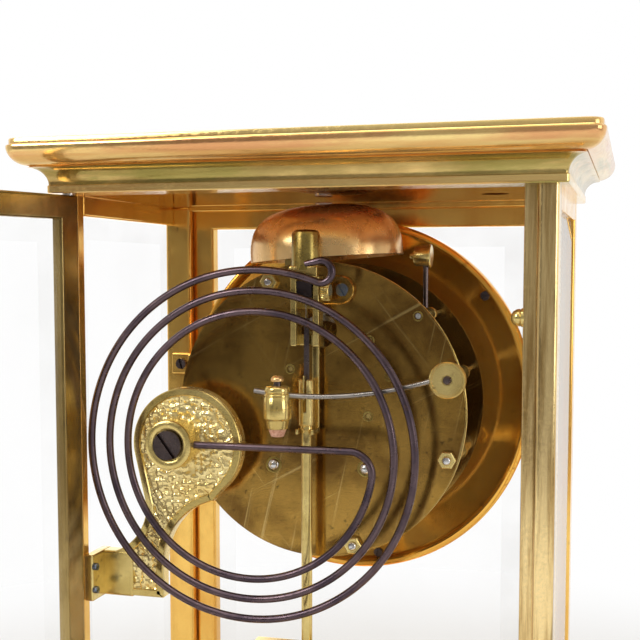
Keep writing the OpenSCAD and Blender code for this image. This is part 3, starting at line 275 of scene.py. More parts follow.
def object_noise(tree, scale, detail=4.0, stretch=(1, 1, 1), turn=0.0):
    """Noise over Object coordinates, turned about Y and squeezed along each axis by stretch."""
    where = tree.nodes.new("ShaderNodeTexCoord")
    mapping = tree.nodes.new("ShaderNodeMapping")
    mapping.vector_type = "TEXTURE"
    mapping.inputs["Scale"].default_value = [1 / side for side in stretch]
    mapping.inputs["Rotation"].default_value = (0, turn, 0)
    noise = tree.nodes.new("ShaderNodeTexNoise")
    noise.inputs["Scale"].default_value = scale
    noise.inputs["Detail"].default_value = detail
    noise.inputs["Roughness"].default_value = NOISE_ROUGH
    tree.links.new(where.outputs["Object"], mapping.inputs["Vector"])
    tree.links.new(mapping.outputs["Vector"], noise.inputs["Vector"])
    return noise.outputs["Fac"]


def blend_colour(tree, share, first, second):
    """first where share is 0 and second where it is 1; each is a colour or a node's output."""
    node = tree.nodes.new("ShaderNodeMix")
    node.data_type = "RGBA"
    tree.links.new(share, node.inputs["Factor"])
    for socket, colour in (("A", first), ("B", second)):
        target = next(i for i in node.inputs if i.name == socket and i.type == "RGBA")
        if isinstance(colour, tuple):
            target.default_value = (*colour, 1)
        else:
            tree.links.new(colour, target)
    return next(o for o in node.outputs if o.type == "RGBA")


def tilt(tree, shader, height, strength, depth):
    """Fine marks: a pattern of heights, in metres of depth, that turns the surface's normal."""
    bump = tree.nodes.new("ShaderNodeBump")
    bump.inputs["Strength"].default_value = strength
    bump.inputs["Distance"].default_value = depth
    tree.links.new(height, bump.inputs["Height"])
    tree.links.new(bump.outputs["Normal"], shader.inputs["Normal"])


def aged_metal(name, bright, dull, stain, gloss, cloud=45, spot=320, marks=0.12, mark_stretch=(1, 1, 14),
               spots=0.6, run=(1, 1, 1), patina=0.0):
    """Clouds of bright and dull, stained in spots and drawn out by run.

    gloss is the (least, most) roughness, marks is how strongly fine lines tilt the surface, and patina
    is the share that is not metallic.
    """
    material, tree, shader = new_finish(name, gloss[0], 1.0 - patina)
    clouds = remap(tree, object_noise(tree, cloud, 5, run), *CLOUD_EDGES, 0, 1)
    speckle = remap(tree, object_noise(tree, spot, 6, run), spots, spots + SPOT_SOFT, 0, SPOT_SHARE)
    colour = blend_colour(tree, speckle, blend_colour(tree, clouds, bright, dull), stain)
    tree.links.new(colour, shader.inputs["Base Color"])
    wander = remap(tree, object_noise(tree, cloud * 3, 6), *GLOSS_EDGES, *gloss)
    tree.links.new(wander, shader.inputs["Roughness"])
    tilt(tree, shader, object_noise(tree, MARK_SCALE, 5, mark_stretch), marks, MARK_DEPTH)
    return material


def layer(material, share, colour):
    """Lay one more colour over a finish, in the share that a node gives."""
    tree = material.node_tree
    socket = tree.nodes["Principled BSDF"].inputs["Base Color"]
    tree.links.new(blend_colour(tree, share, socket.links[0].from_socket, colour), socket)


def level_band(tree, lowest, highest, soft):
    """1 between two heights in millimetres and 0 outside them, with soft edges."""
    place = tree.nodes.new("ShaderNodeSeparateXYZ")
    tree.links.new(tree.nodes.new("ShaderNodeTexCoord").outputs["Object"], place.inputs[0])
    over = remap(tree, place.outputs["Z"], lowest * MM, (lowest + soft) * MM, 0, 1)
    under = remap(tree, place.outputs["Z"], highest * MM, (highest - soft) * MM, 0, 1)
    return combine(tree, "MULTIPLY", over, under)


print("finish helpers ready")

# %% [markdown]
# The brasses of an old clock differ: the case was polished, the rear door is darker, the plates have
# gone brown, and the pan round the movement is nearly gold. They could share one material, but then
# the pieces would run together, so each has colours of its own in the same recipe.

# %% Mix the brasses
before = len(bpy.data.materials)
case_brass = aged_metal("case_brass", (0.98, 0.74, 0.35), (0.48, 0.30, 0.10), (0.28, 0.19, 0.07),
                        (0.08, 0.26), cloud=330, spot=260, spots=0.54, marks=0.05, run=(1, 1, 0.05),
                        patina=0.10)
cornice_brass = aged_metal("cornice_brass", (0.98, 0.73, 0.29), (0.83, 0.47, 0.16), (0.30, 0.32, 0.09),
                           (0.08, 0.22), cloud=230, spot=150, marks=0.05, run=(0.05, 0.05, 1),
                           spots=0.57, patina=0.22)
amber_brass = aged_metal("amber_brass", (0.98, 0.61, 0.15), (0.84, 0.45, 0.09), (0.42, 0.23, 0.06),
                         (0.07, 0.20), cloud=70, marks=0.05, run=(1, 1, 0.4), spots=0.66, patina=0.2)
door_brass = aged_metal("door_brass", (0.42, 0.30, 0.115), (0.27, 0.18, 0.06), (0.22, 0.15, 0.06),
                        (0.10, 0.26), cloud=60, marks=0.08, run=(1, 1, 0.5), patina=0.1)
ceiling_brass = aged_metal("ceiling_brass", (0.66, 0.28, 0.065), (0.54, 0.21, 0.045), (0.30, 0.14, 0.04),
                           (0.0, 0.02), marks=0.003, patina=0.1)
plate_brass = aged_metal("plate_brass", (0.46, 0.27, 0.06), (0.18, 0.09, 0.018), (0.10, 0.05, 0.012),
                         (0.04, 0.16), cloud=34, spot=420, marks=0.10, patina=0.12)
ring_brass = aged_metal("ring_brass", (1.0, 0.56, 0.10), (0.90, 0.42, 0.055), (0.48, 0.22, 0.04),
                        (0.05, 0.14), marks=0.05, patina=0.25)
work_brass = aged_metal("work_brass", (0.62, 0.45, 0.16), (0.42, 0.29, 0.08), (0.22, 0.14, 0.04),
                        (0.12, 0.26), patina=0.12)
post_brass = aged_metal("post_brass", (0.40, 0.30, 0.09), (0.25, 0.17, 0.045), (0.13, 0.085, 0.025),
                        (0.22, 0.38), cloud=200, run=(1, 1, 0.15))
cast_brass = aged_metal("cast_brass", (0.99, 0.81, 0.38), (0.92, 0.68, 0.25), (0.52, 0.33, 0.09),
                        (0.16, 0.32), cloud=90, marks=0.3, mark_stretch=(1, 1, 1), patina=0.2)
rim_brass = aged_metal("rim_brass", (0.84, 0.66, 0.26), (0.62, 0.46, 0.15), (0.32, 0.21, 0.06),
                       (0.12, 0.26), patina=0.15)
bell_bronze = aged_metal("bell_bronze", (0.90, 0.60, 0.27), (0.76, 0.45, 0.18), (0.40, 0.19, 0.06),
                         (0.20, 0.34), marks=0.04, patina=0.25)
print("brasses", len(bpy.data.materials) - before)

# %% [markdown]
# Steel on a clock is left bright, blued over a flame, or gone brown with age. The same recipe serves
# with greyer colours and no patina, and the roughness says which pieces were polished.

# %% Mix the steels
gong_steel = aged_metal("gong_steel", (0.15, 0.105, 0.115), (0.075, 0.055, 0.07), (0.17, 0.09, 0.055),
                        (0.24, 0.42), cloud=80)
bright_steel = aged_metal("bright_steel", (0.72, 0.71, 0.70), (0.50, 0.48, 0.47), (0.30, 0.25, 0.22),
                          (0.12, 0.28))
blued_steel = aged_metal("blued_steel", (0.05, 0.075, 0.22), (0.035, 0.04, 0.12), (0.07, 0.05, 0.09),
                         (0.14, 0.28))
screw_steel = aged_metal("screw_steel", (0.30, 0.34, 0.41), (0.11, 0.13, 0.19), (0.10, 0.07, 0.10),
                         (0.14, 0.28))
dark_steel = aged_metal("dark_steel", (0.15, 0.115, 0.11), (0.075, 0.058, 0.06), (0.12, 0.07, 0.05),
                        (0.18, 0.35))
wire_steel = aged_metal("wire_steel", (0.36, 0.33, 0.30), (0.23, 0.21, 0.19), (0.15, 0.11, 0.08),
                        (0.24, 0.42))
print("metals", len(bpy.data.materials) - before)

# %% [markdown]
# Two brasses have a history. The cornice was polished by hand for a century, so tarnish and olive
# stayed in its hollow and copper came through on its round. The back plate was cleaned in straight
# strokes, and three sets of fine lines cross on it.

# %% Tarnish the cornice and scratch the plate
BAND_SOFT = 0.7
cornice_tree = cornice_brass.node_tree
# Levels above the ceiling, size and stretch of the patches, their edges and shares, and their colour
for levels, grain, stretch, shares, colour in (
        ((1.9, 7.4), 70, 0.3, (0.32, 0.6, 0.1, 0.9), (0.38, 0.27, 0.08)),
        ((1.9, 7.4), 85, 0.22, (0.48, 0.62, 0.0, 0.65), (0.31, 0.28, 0.06)),
        ((9.4, 13.3), 60, 0.3, (0.40, 0.60, 0.0, 0.9), (0.78, 0.38, 0.16)),
        ((7.0, 9.6), 66, 0.3, (0.46, 0.62, 0.0, 0.7), (0.50, 0.30, 0.08))):
    band = level_band(cornice_tree, ceiling + levels[0], ceiling + levels[1], BAND_SOFT)
    patches = remap(cornice_tree, object_noise(cornice_tree, grain, 6, (stretch, stretch, 1)), *shares)
    layer(cornice_brass, combine(cornice_tree, "MULTIPLY", band, patches), colour)
LINE_SCALE, LINE_STRETCH, LINE_EDGES = 520, (0.018, 1, 1), (0.62, 0.70)
LINE_COLOUR = (0.72, 0.54, 0.22)
plate_tree = plate_brass.node_tree
for turn, amount in ((0.5, 0.5), (-0.9, 0.35), (1.35, 0.4)):
    fine = object_noise(plate_tree, LINE_SCALE, 3, LINE_STRETCH, turn)
    layer(plate_brass, remap(plate_tree, fine, *LINE_EDGES, 0, amount), LINE_COLOUR)
print("cornice nodes", len(cornice_tree.nodes), "plate nodes", len(plate_tree.nodes))

# %% [markdown]
# Three finishes are not metal. The panes are clear with a faint green cast and a sharp sheen, the
# dial is fired enamel with hardly any grain, and the hammer's tip is a plug of worn pink leather.

# %% Mix the glass, enamel and leather
PANE_ROUGH, PANE_SHINE, SHEEN_EDGES, SHEEN_MOST = 0.03, 0.6, (0.78, 0.96), 0.6
GLAZE_ROUGH, GLAZE_COAT, HIDE_ROUGH = 0.12, 0.5, 0.75
HAZE_SCALE, GLAZE_SCALE, PEBBLE_SCALE = 30, 60, 1400
HAZE_EDGES, GLAZE_EDGES, PEBBLE_EDGES = (0.3, 0.8), (0.35, 0.7), (0.35, 0.65)
PEBBLE_TILT, PEBBLE_DEPTH = 0.5, 0.0003


def clear_pane(name, tint, least, most):
    """Glass as a thin sheet: most of it lets light straight through, and a share is tinted sheen."""
    material, tree, shader = new_finish(name, PANE_ROUGH, 0.0)
    shader.inputs["Base Color"].default_value = (*tint, 1)
    shader.inputs["Specular IOR Level"].default_value = PANE_SHINE
    haze = remap(tree, object_noise(tree, HAZE_SCALE, 3), *HAZE_EDGES, least, most)
    slant = tree.nodes.new("ShaderNodeLayerWeight")
    sheen = remap(tree, slant.outputs["Facing"], *SHEEN_EDGES, 0.0, SHEEN_MOST)
    tree.links.new(combine(tree, "ADD", haze, sheen), shader.inputs["Alpha"])
    return material


def fired_enamel(name, clear, cloudy):
    """A glossy glaze of one colour that clouds a little into another."""
    material, tree, shader = new_finish(name, GLAZE_ROUGH, 0.0)
    shader.inputs["Coat Weight"].default_value = GLAZE_COAT
    clouds = remap(tree, object_noise(tree, GLAZE_SCALE), *GLAZE_EDGES, 0, 1)
    colour = blend_colour(tree, clouds, clear, cloudy)
    tree.links.new(colour, shader.inputs["Base Color"])
    return material


def worn_leather(name, dark, pale):
    """Hide with a pebbled grain, pale on its pebbles."""
    material, tree, shader = new_finish(name, HIDE_ROUGH, 0.0)
    grain = object_noise(tree, PEBBLE_SCALE, 6)
    colour = blend_colour(tree, remap(tree, grain, *PEBBLE_EDGES, 0, 1), dark, pale)
    tree.links.new(colour, shader.inputs["Base Color"])
    tilt(tree, shader, grain, PEBBLE_TILT, PEBBLE_DEPTH)
    return material


clear_glass = clear_pane("clear_glass", (0.88, 0.93, 0.91), 0.005, 0.03)
# The bevel's glass is greyer and hazier than the clear glass: painted reflection on the panes' sloped edges.
bevel_painted_reflection = clear_pane("bevel_painted_reflection", (0.62, 0.65, 0.60), 0.03, 0.14)
dial_ink = fired_enamel("dial_ink", (0.035, 0.033, 0.035), (0.05, 0.045, 0.045))
enamel = fired_enamel("enamel", (0.84, 0.82, 0.75), (0.79, 0.76, 0.67))
leather = worn_leather("worn_leather", (0.60, 0.27, 0.17), (0.80, 0.47, 0.33))
print("finishes", len(bpy.data.materials) - before)

# %% [markdown]
# Each solid node takes the finish that its real piece has, save the suspension block, which is painted
# dark steel as painted shade for the gap round it. Nodes that get a finer piece later are painted too:
# their material is what a bare model would show.

# %% Paint the solid nodes
FINISH_OF_SLOT = {
    "polished_brass": case_brass, "ceiling_brass": ceiling_brass, "plate_brass": plate_brass,
    "movement_brass": work_brass, "gong_stand_brass": cast_brass, "bell_bronze": bell_bronze,
    "steel": bright_steel, "blued_steel": blued_steel, "gong_steel": gong_steel, "enamel": enamel,
    "glass": clear_glass, "leather": leather,
}
SLOT_OF_NODE = {s["node"]: s["material_slot"] for s in frame["record"]["subparts"]}
for node, solid in frame["nodes"].items():
    solid.data.materials.clear()
    solid.data.materials.append(FINISH_OF_SLOT[SLOT_OF_NODE[node]])
# The suspension block is painted dark steel: painted shade, standing in for the dark gap round the leader.
frame["nodes"]["suspension_block"].data.materials[0] = dark_steel
print("painted", len(frame["nodes"]))

# %% [markdown]
# New pieces are skins: rows of points, each row a closed loop, joined by four-sided faces. Three ways
# of making the rows cover nearly everything in a clock: turning a profile in a lathe, drawing a
# rounded bar, and cutting a plate to an outline. Each returns its rows, and one helper skins them.

# %% The skin, the lathe and its profiles
SIDES, CREASE, WELD = 96, 38, 1e-6
# Where a piece's own first, second and long direction point, for each axis that it can lie along
FRAMES = {
    "x": np.array([[0, 1, 0], [0, 0, 1], [1, 0, 0]]),
    "-x": np.array([[0, -1, 0], [0, 0, 1], [-1, 0, 0]]),
    "y": np.array([[0, 0, 1], [1, 0, 0], [0, 1, 0]]),
    "z": np.array([[1, 0, 0], [0, 1, 0], [0, 0, 1]]),
}


def skin(name, rows, finish, body="case", ring=False, crease=CREASE, node=None):
    """Join rows (n, m, 3) of closed loops; the ends are closed flat, or to each other in a ring.

    Point j of row i meets its neighbours j + 1 and i + 1 in one four-sided face. The piece rides on a
    body, and where it takes the place of a solid node, that node is hidden.
    """
    rows = np.asarray(rows, dtype=float)
    n, m = rows.shape[:2]
    i, j = np.meshgrid(np.arange(n if ring else n - 1), np.arange(m), indexing="ij")
    k, i2 = (j + 1) % m, (i + 1) % n
    faces = np.stack([i * m + j, i * m + k, i2 * m + k, i2 * m + j], axis=-1).reshape(-1, 4).tolist()
    if not ring:
        faces += [np.arange(m).tolist(), np.arange((n - 1) * m, n * m).tolist()]
    mesh = bpy.data.meshes.new(name)
    mesh.from_pydata((rows.reshape(-1, 3) * MM).tolist(), [], faces)
    shape = bmesh.new()
    shape.from_mesh(mesh)
    bmesh.ops.remove_doubles(shape, verts=shape.verts, dist=WELD)
    bmesh.ops.recalc_face_normals(shape, faces=shape.faces)
    shape.to_mesh(mesh)
    shape.free()
    mesh.polygons.foreach_set("use_smooth", np.ones(len(mesh.polygons), dtype=bool))
    mesh.set_sharp_from_angle(angle=math.radians(crease))
    mesh.materials.append(finish)
    piece = put(name, mesh)
    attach(piece, body)
    if node:
        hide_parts(node)
    return piece


def turned(profile, place, axis="y", sides=SIDES):
    """Rows of a lathe: each profile point (radius, height) goes round the axis through place."""
    radius, height = np.array(profile, dtype=float).T[:, :, None]
    angle = np.linspace(0, 2 * np.pi, sides, endpoint=False)[None, :]
    local = np.stack([radius * np.cos(angle), radius * np.sin(angle), height + 0 * angle], axis=-1)
    return local @ FRAMES[axis] + np.array(place, dtype=float)


def lathe(name, profile, place, finish, body="case", axis="y", sides=SIDES, ring=False, node=None):
    """Skin a turned piece."""
    return skin(name, turned(profile, place, axis, sides), finish, body, ring, node=node)


def pin(radius, start, end):
    """Profile of a plain pin between two heights."""
    return [(0, start), (radius, start), (radius, end), (0, end)]


print("frames", list(FRAMES))

# %% [markdown]
# Bars, plates and wire are cut or drawn, not turned, so their rows come from a flat outline or a path.
# A Bevel modifier could soften the edges. Here each edge is drawn as a small arc with a short straight
# run beside it, which keeps the flats flat when they are shaded smooth.

# %% Arcs, bars, plates and wire
RUN_IN = 0.3


def arc(middle, radius, start, end, count=24):
    """Points on a circle between two angles in degrees."""
    angle = np.radians(np.linspace(start, end, count))
    return np.array(middle) + radius * np.stack([np.cos(angle), np.sin(angle)], axis=-1)


def eased(middle, radius, start, end, count, run):
    """An arc with a short straight run at both ends, so that the flats beside it are shaded flat."""
    bend = arc(middle, radius, start, end, count)
    first, last = np.radians([start, end])
    step = run * np.sign(end - start)
    lead = bend[0] - step * np.array([-np.sin(first), np.cos(first)])
    trail = bend[-1] + step * np.array([-np.sin(last), np.cos(last)])
    return np.concatenate([[lead], bend, [trail]])


def rounded_loop(half_a, half_b, radius, corner=5):
    """A rectangle's outline with quarter-round corners, each eased into the straight sides."""
    run = RUN_IN * min(radius, half_a - radius, half_b - radius)
    in_a, in_b = half_a - radius, half_b - radius
    signs = ((1, 1), (-1, 1), (-1, -1), (1, -1))
    return np.concatenate([eased((a * in_a, b * in_b), radius, 90 * turn, 90 * turn + 90, corner, run)
                           for turn, (a, b) in enumerate(signs)])


def bar(low_corner, high_corner, edge, axis="z"):
    """Rows of a bar between two corners along an axis, every edge rounded by the radius edge.

    One outline is drawn in by edge * (1 - sin) at a height of edge * (1 - cos) from each end.
    """
    low_corner, high_corner = np.array(low_corner, dtype=float), np.array(high_corner, dtype=float)
    half = (high_corner - low_corner) / 2 @ FRAMES[axis].T
    turn = np.linspace(0, np.pi / 2, 4)
    rise = edge * (1 - np.cos(turn))
    draw = edge * (1 - np.sin(turn))
    run = RUN_IN * min(edge, half[2] - edge)
    drawn_in = np.concatenate([draw, [0, 0], draw[::-1]])
    straight = [edge + run - half[2], half[2] - edge - run]
    height = np.concatenate([rise - half[2], straight, half[2] - rise[::-1]])
    spread = (1 - drawn_in[:, None, None] / half[:2]) * rounded_loop(half[0], half[1], edge)[None]
    level = np.broadcast_to(height[:, None, None], spread.shape[:2] + (1,))
    return np.concatenate([spread, level], axis=-1) @ FRAMES[axis] + (low_corner + high_corner) / 2


def block(name, low_corner, high_corner, edge, finish, body="case", axis="z", node=None):
    """Skin a bar."""
    return skin(name, bar(low_corner, high_corner, edge, axis), finish, body, node=node)


def left_of(along):
    """Unit vectors a quarter turn to the left of each flat step."""
    return np.stack([-along[:, 1], along[:, 0]], axis=-1) / np.linalg.norm(along, axis=1, keepdims=True)


def inset(outline, by, reach):
    """The outline moved left of its way round, square to the line between points reach steps off."""
    return outline + by * left_of(np.roll(outline, -reach, axis=0) - np.roll(outline, reach, axis=0))


def cut_plate(outline, level_0, level_1, edge, axis="y"):
    """Rows of a plate: the outline pulled in by edge at both faces, so that its rim is chamfered."""
    ahead = np.roll(outline, -1, axis=0)
    turning = np.sum(outline[:, 0] * ahead[:, 1] - ahead[:, 0] * outline[:, 1])
    small = inset(outline, np.sign(turning) * edge, 1)
    loops = np.stack([small, outline, outline, small])
    height = np.array([level_0, level_0 + edge, level_1 - edge, level_1])[:, None, None] + 0 * loops[..., :1]
    if axis == "y":
        return np.concatenate([loops[..., :1], height, loops[..., 1:]], axis=-1)
    return np.concatenate([loops, height], axis=-1)


def wire(path, radius, level, sides=20):
    """Rows of a round wire along a flat path of (x, z) points at a depth, radius one or per point."""
    across = left_of(np.gradient(path, axis=0))
    angle = np.linspace(0, 2 * np.pi, sides, endpoint=False)
    reach = np.broadcast_to(np.asarray(radius, dtype=float), (len(path),))[:, None]
    flat = path[:, None, :] + across[:, None, :] * (reach * np.cos(angle))[..., None]
    return np.stack([flat[..., 0], level + reach * np.sin(angle), flat[..., 1]], axis=-1)


print("a bar has", bar((-1, -1, -1), (1, 1, 1), 0.2).shape[:2], "rows and points")

# %% [markdown]
# The gong is a tempered steel wire coiled flat. Its inner end is held in a brass hub, runs straight
# across, bends down into the coil and winds out for nearly three turns to a small eye at the top. The
# path below is those four pieces joined, and the wire is drawn thinner where its end was ground.

# %% Wind the gong
wire_r = (high("gong")[1] - low("gong")[1]) / 2
wire_y = (high("gong")[1] + low("gong")[1]) / 2
COIL_IN, COIL_DOWN, HUB_OUT, HUB_GRIP = 51.8, 10.5, 24.7, 2.5
COIL_FROM, COIL_TO, COIL_R, COIL_STEP = 10.0, 1012.0, 35.7, 5.9
BEND_R, EYE_R, EYE_TURN = 6.5, 3.1, 215.0
TIP_LEN, TIP_POINTS, TIP_THICK, TIP_THIN = 4.0, 8, 0.98, 0.72
coil_grow = COIL_STEP / (2 * np.pi)
coil_mid = np.array([side_in - COIL_IN, dial_z - COIL_DOWN])
coil_turn = np.radians(np.linspace(COIL_FROM, COIL_TO, 620))
coil_radius = COIL_R + coil_grow * coil_turn
coil = coil_mid - coil_radius[:, None] * np.stack([np.cos(coil_turn), np.sin(coil_turn)], axis=-1)


def coil_way(turn):
    """Unit direction of the coil where it has turned by an angle: the spiral's derivative."""
    round_it = np.array([np.sin(turn), -np.cos(turn)])
    outward = np.array([np.cos(turn), np.sin(turn)])
    way = (COIL_R + coil_grow * turn) * round_it - coil_grow * outward
    return way / np.linalg.norm(way)


start_way, end_way = coil_way(coil_turn[0]), coil_way(coil_turn[-1])
bend_turn = math.atan2(-start_way[1], -start_way[0])
bend_start = coil[0] + BEND_R * np.array([math.sin(bend_turn), 1 - math.cos(bend_turn)])
bend_at = np.linspace(0, bend_turn, 30)[:-1]
bend = bend_start - BEND_R * np.stack([np.sin(bend_at), 1 - np.cos(bend_at)], axis=-1)
hub = np.array([coil_mid[0] + HUB_OUT, bend_start[1]])
hub_place = (hub[0], 0, hub[1])
run = np.linspace([hub[0] - HUB_GRIP, hub[1]], bend_start, 24)[:-1]
eye_up = np.array([end_way[1], -end_way[0]])
eye_at = np.radians(np.linspace(0, EYE_TURN, 50))[1:, None]
eye = coil[-1] + EYE_R * eye_up + EYE_R * (np.sin(eye_at) * end_way - np.cos(eye_at) * eye_up)
eye_way = eye[-1] - eye[-2]
tip = eye[-1] + np.linspace(0.2, 1, TIP_POINTS)[:, None] * TIP_LEN * eye_way / np.linalg.norm(eye_way)
gong_path = np.concatenate([run, bend, coil, eye, tip])
taper = np.ones(len(gong_path))
taper[-TIP_POINTS:] = np.linspace(TIP_THICK, TIP_THIN, TIP_POINTS)
skin("gong_wire", wire(gong_path, wire_r * taper, wire_y), gong_steel, node="gong")
print("gong points", len(gong_path), "hub", np.round(hub, 2))

# %% [markdown]
# A brass bracket shaped like a comma carries the gong. Its broad face is cast as a field of small
# nodules inside a plain rim, and its tail runs down to a lug on the slim post. The outline is a chain
# of arcs and straight lines about the middle of the comma's head.

# %% Cut the gong stand's outline, plate and rim
STAND_T, HEAD_R, RIM_W, RECESS = 5.0, 17.0, 2.3, 0.8
SOFT, ROOT, PLATE_EDGE, SMOOTH = 0.3, 0.3, 0.5, 2
HUB_OFFSET, TAIL_END = np.array([2.9, 0.9]), -46.6
stand_back = low("gong_stand")[1]
stand_face = stand_back + STAND_T
field_y = stand_face - RECESS
head_mid = hub - HUB_OFFSET
comma = head_mid + np.concatenate([
    arc((0, 0), HEAD_R, -5, 229.3, 150),
    arc((-13.3, -36.6), 21.0, 76.7, 0.6, 60),
    np.linspace([7.9, -37.0], [7.9, TAIL_END], 20),
    np.linspace([8.5, TAIL_END], [22.1, TAIL_END], 24),
    np.linspace([22.7, TAIL_END], [22.7, -39.4], 14),
    np.linspace([22.9, -38.6], [24.8, -34.9], 8),
    arc((28.7, -18.6), 15.6, 253.6, 180, 50),
    np.linspace([13.3, -18.0], [16.8, -2.4], 24),
])


def at_depth(outline, depth):
    """An (x, z) outline set at one depth."""
    return np.stack([outline[:, 0], np.full(len(outline), depth), outline[:, 1]], axis=-1)


skin("gong_stand_plate", cut_plate(comma, stand_back, field_y, PLATE_EDGE), cast_brass)
rim_steps = ((0, field_y - ROOT), (0, stand_face - SOFT), (SOFT, stand_face), (RIM_W - SOFT, stand_face),
             (RIM_W, stand_face - SOFT), (RIM_W, field_y - ROOT))
skin("gong_stand_rim", np.stack([at_depth(inset(comma, by, SMOOTH), depth) for by, depth in rim_steps]),
     rim_brass, ring=True)
print("comma points", len(comma))

# %% [markdown]
# The cast field is a grid of heights: each nodule is a low dome about a seeded point, and the rim
# hides where the grid ends. Only the cells whose four corners lie inside the comma are kept, and a
# Solidify modifier gives the sheet its thickness.

# %% Cast the nodules and the lug
STEP, NODULE, JITTER, DOME_LEAST, DOME_MOST, DOME_H = 0.36, 1.75, 0.75, 0.75, 1.35, 0.62
FIELD_IN, FIELD_SUNK, FIELD_T, TINY = 1.1, 0.05, 0.4, 1e-12


def inside(points, outline):
    """True where a ray from the point to the right crosses the outline an odd number of times."""
    a, b = outline, np.roll(outline, -1, axis=0)
    x, z = points[..., 0:1], points[..., 1:2]
    above = (a[:, 1] > z) != (b[:, 1] > z)
    cross = a[:, 0] + (z - a[:, 1]) * (b[:, 0] - a[:, 0]) / (b[:, 1] - a[:, 1] + TINY)
    return (above & (x < cross)).sum(axis=-1) % 2 == 1


def grid_over(outline, step):
    """Points (n, m, 2) of a square grid over an outline's box."""
    (x_0, z_0), (x_1, z_1) = outline.min(axis=0), outline.max(axis=0)
    x, z = np.meshgrid(np.arange(x_0, x_1, step), np.arange(z_0, z_1, step), indexing="ij")
    return np.stack([x, z], axis=-1)


rng = np.random.default_rng(7)
spots = grid_over(comma, NODULE).reshape(-1, 2)
spots = spots + rng.uniform(-JITTER, JITTER, spots.shape)
dome_r = rng.uniform(DOME_LEAST, DOME_MOST, len(spots))
grid = grid_over(comma, STEP)
away = np.linalg.norm(grid[:, :, None, :] - spots[None, None], axis=-1) / dome_r
height = np.sqrt(np.clip(1 - away.min(axis=-1) ** 2, 0, 1)) * DOME_H
field = np.stack([grid[..., 0], field_y - FIELD_SUNK + height, grid[..., 1]], axis=-1)
kept = inside(grid, inset(comma, FIELD_IN, SMOOTH))
row, column = np.nonzero(kept[:-1, :-1] & kept[1:, :-1] & kept[1:, 1:] & kept[:-1, 1:])
columns = grid.shape[1]
first = row * columns + column
quads = np.stack([first, first + 1, first + columns + 1, first + columns], axis=-1)
used, new_index = np.unique(quads, return_inverse=True)
field_mesh = bpy.data.meshes.new("gong_stand_field")
field_points = field.reshape(-1, 3)[used] * MM
field_mesh.from_pydata(field_points.tolist(), [], new_index.reshape(quads.shape).tolist())
field_mesh.polygons.foreach_set("use_smooth", np.ones(len(quads), dtype=bool))
field_mesh.materials.append(cast_brass)
field_piece = put("gong_stand_field", field_mesh)
field_wall = field_piece.modifiers.new("thickness", "SOLIDIFY")
field_wall.thickness = FIELD_T * MM
field_wall.offset = -1
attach(field_piece, "case")
LUG_T, LUG_H, LUG_UNDER, LUG_FOOT, NUDGE = 3.0, 14.0, 0.5, 17.5, 0.12
lug_z = head_mid[1] + TAIL_END - LUG_UNDER
block("gong_stand_foot", (head_mid[0] + LUG_FOOT, stand_back + NUDGE, lug_z + NUDGE),
      (side_in - NUDGE, stand_face + NUDGE, lug_z + LUG_H - NUDGE), 0.7, rim_brass, axis="x")
block("gong_stand_lug", (side_in - LUG_T, stand_back + NUDGE / 2, lug_z),
      (side_in, high("gong_stand")[1], lug_z + LUG_H), 0.5, rim_brass)
print("field faces", len(quads), "spots", len(spots))

# %% [markdown]
# The wire's end sits in a thick collar, and a slotted screw closes it. The collar has a plain washer
# face round a sunk ring, which is why a dark line shows around the screw. A screw head is turned in two
# halves with the slot left open between them, so the slot has a real floor.

# %% Fit the gong's hub and screw
HUB_R, HUB_HEAD_R, HUB_RISE, HUB_SUNK, HUB_OVER = 7.3, 4.4, 0.6, 1.0, 3.2
SLOT_SHARE, HEAD_ROOT, FLOOR_SHARE = 0.13, 0.2, 0.45
HALF_SHRINK = np.array([1.0, 1.0, 0.94])[:, None, None]
HALF_LEVELS = np.array([0.4, 0.82, 1.0])[:, None, None]
hub_face = wire_y + HUB_OVER
lathe("gong_collar", [
    (0, field_y - 0.5), (HUB_R - 0.1, field_y - 0.5), (HUB_R, field_y), (HUB_R, hub_face - 0.7),
    (HUB_R - 0.25, hub_face - 0.2), (HUB_R - 0.7, hub_face), (HUB_HEAD_R + 0.75, hub_face),
    (HUB_HEAD_R + 0.35, hub_face - 0.25), (HUB_HEAD_R + 0.3, hub_face - 1.1), (0, hub_face - 1.1)],
    hub_place, rim_brass, node="gong_stand")


def slotted_head(name, place, level, radius, rise, finish, turn=0.0, axis="y", node=None):
    """A screw head: a low disc, and on it two segments of a drum on either side of a straight slot.

    A segment is the arc between the slot's edges, drawn in a little about its own middle at the top.
    """
    lathe(name + "_floor", pin(radius, level - HEAD_ROOT, level + rise * FLOOR_SHARE), place, finish,
          axis=axis, node=node)
    gap = math.asin(SLOT_SHARE)
    for side in (0, 1):
        angle = np.linspace(gap, np.pi - gap, 40) + side * np.pi + turn
        rim = radius * np.stack([np.cos(angle), np.sin(angle)], axis=-1)
        middle = rim.mean(axis=0)
        flat = middle + (rim - middle) * HALF_SHRINK
        up = np.broadcast_to(level + rise * HALF_LEVELS, flat.shape[:2] + (1,))
        half = np.concatenate([flat, up], axis=-1) @ FRAMES[axis] + np.array(place)
        skin(f"{name}_half_{side}", half, finish)


slotted_head("gong_screw", hub_place, hub_face - HUB_SUNK, HUB_HEAD_R, HUB_SUNK + HUB_RISE, dark_steel,
             math.radians(37))
print("hub at", np.round(hub, 2))

# %% [markdown]
# The gong's hammer hangs on a pivot at the right of the back plate. A brass disc is pressed on its
# arbor, a thin steel wire that sags a little runs from it to the head, and the head is a turned barrel
# with a leather plug below and a small bronze cap on a dark neck above. Inside the movement a tail
# reaches for the pins that lift it. All of it rides on the hammer's own body.

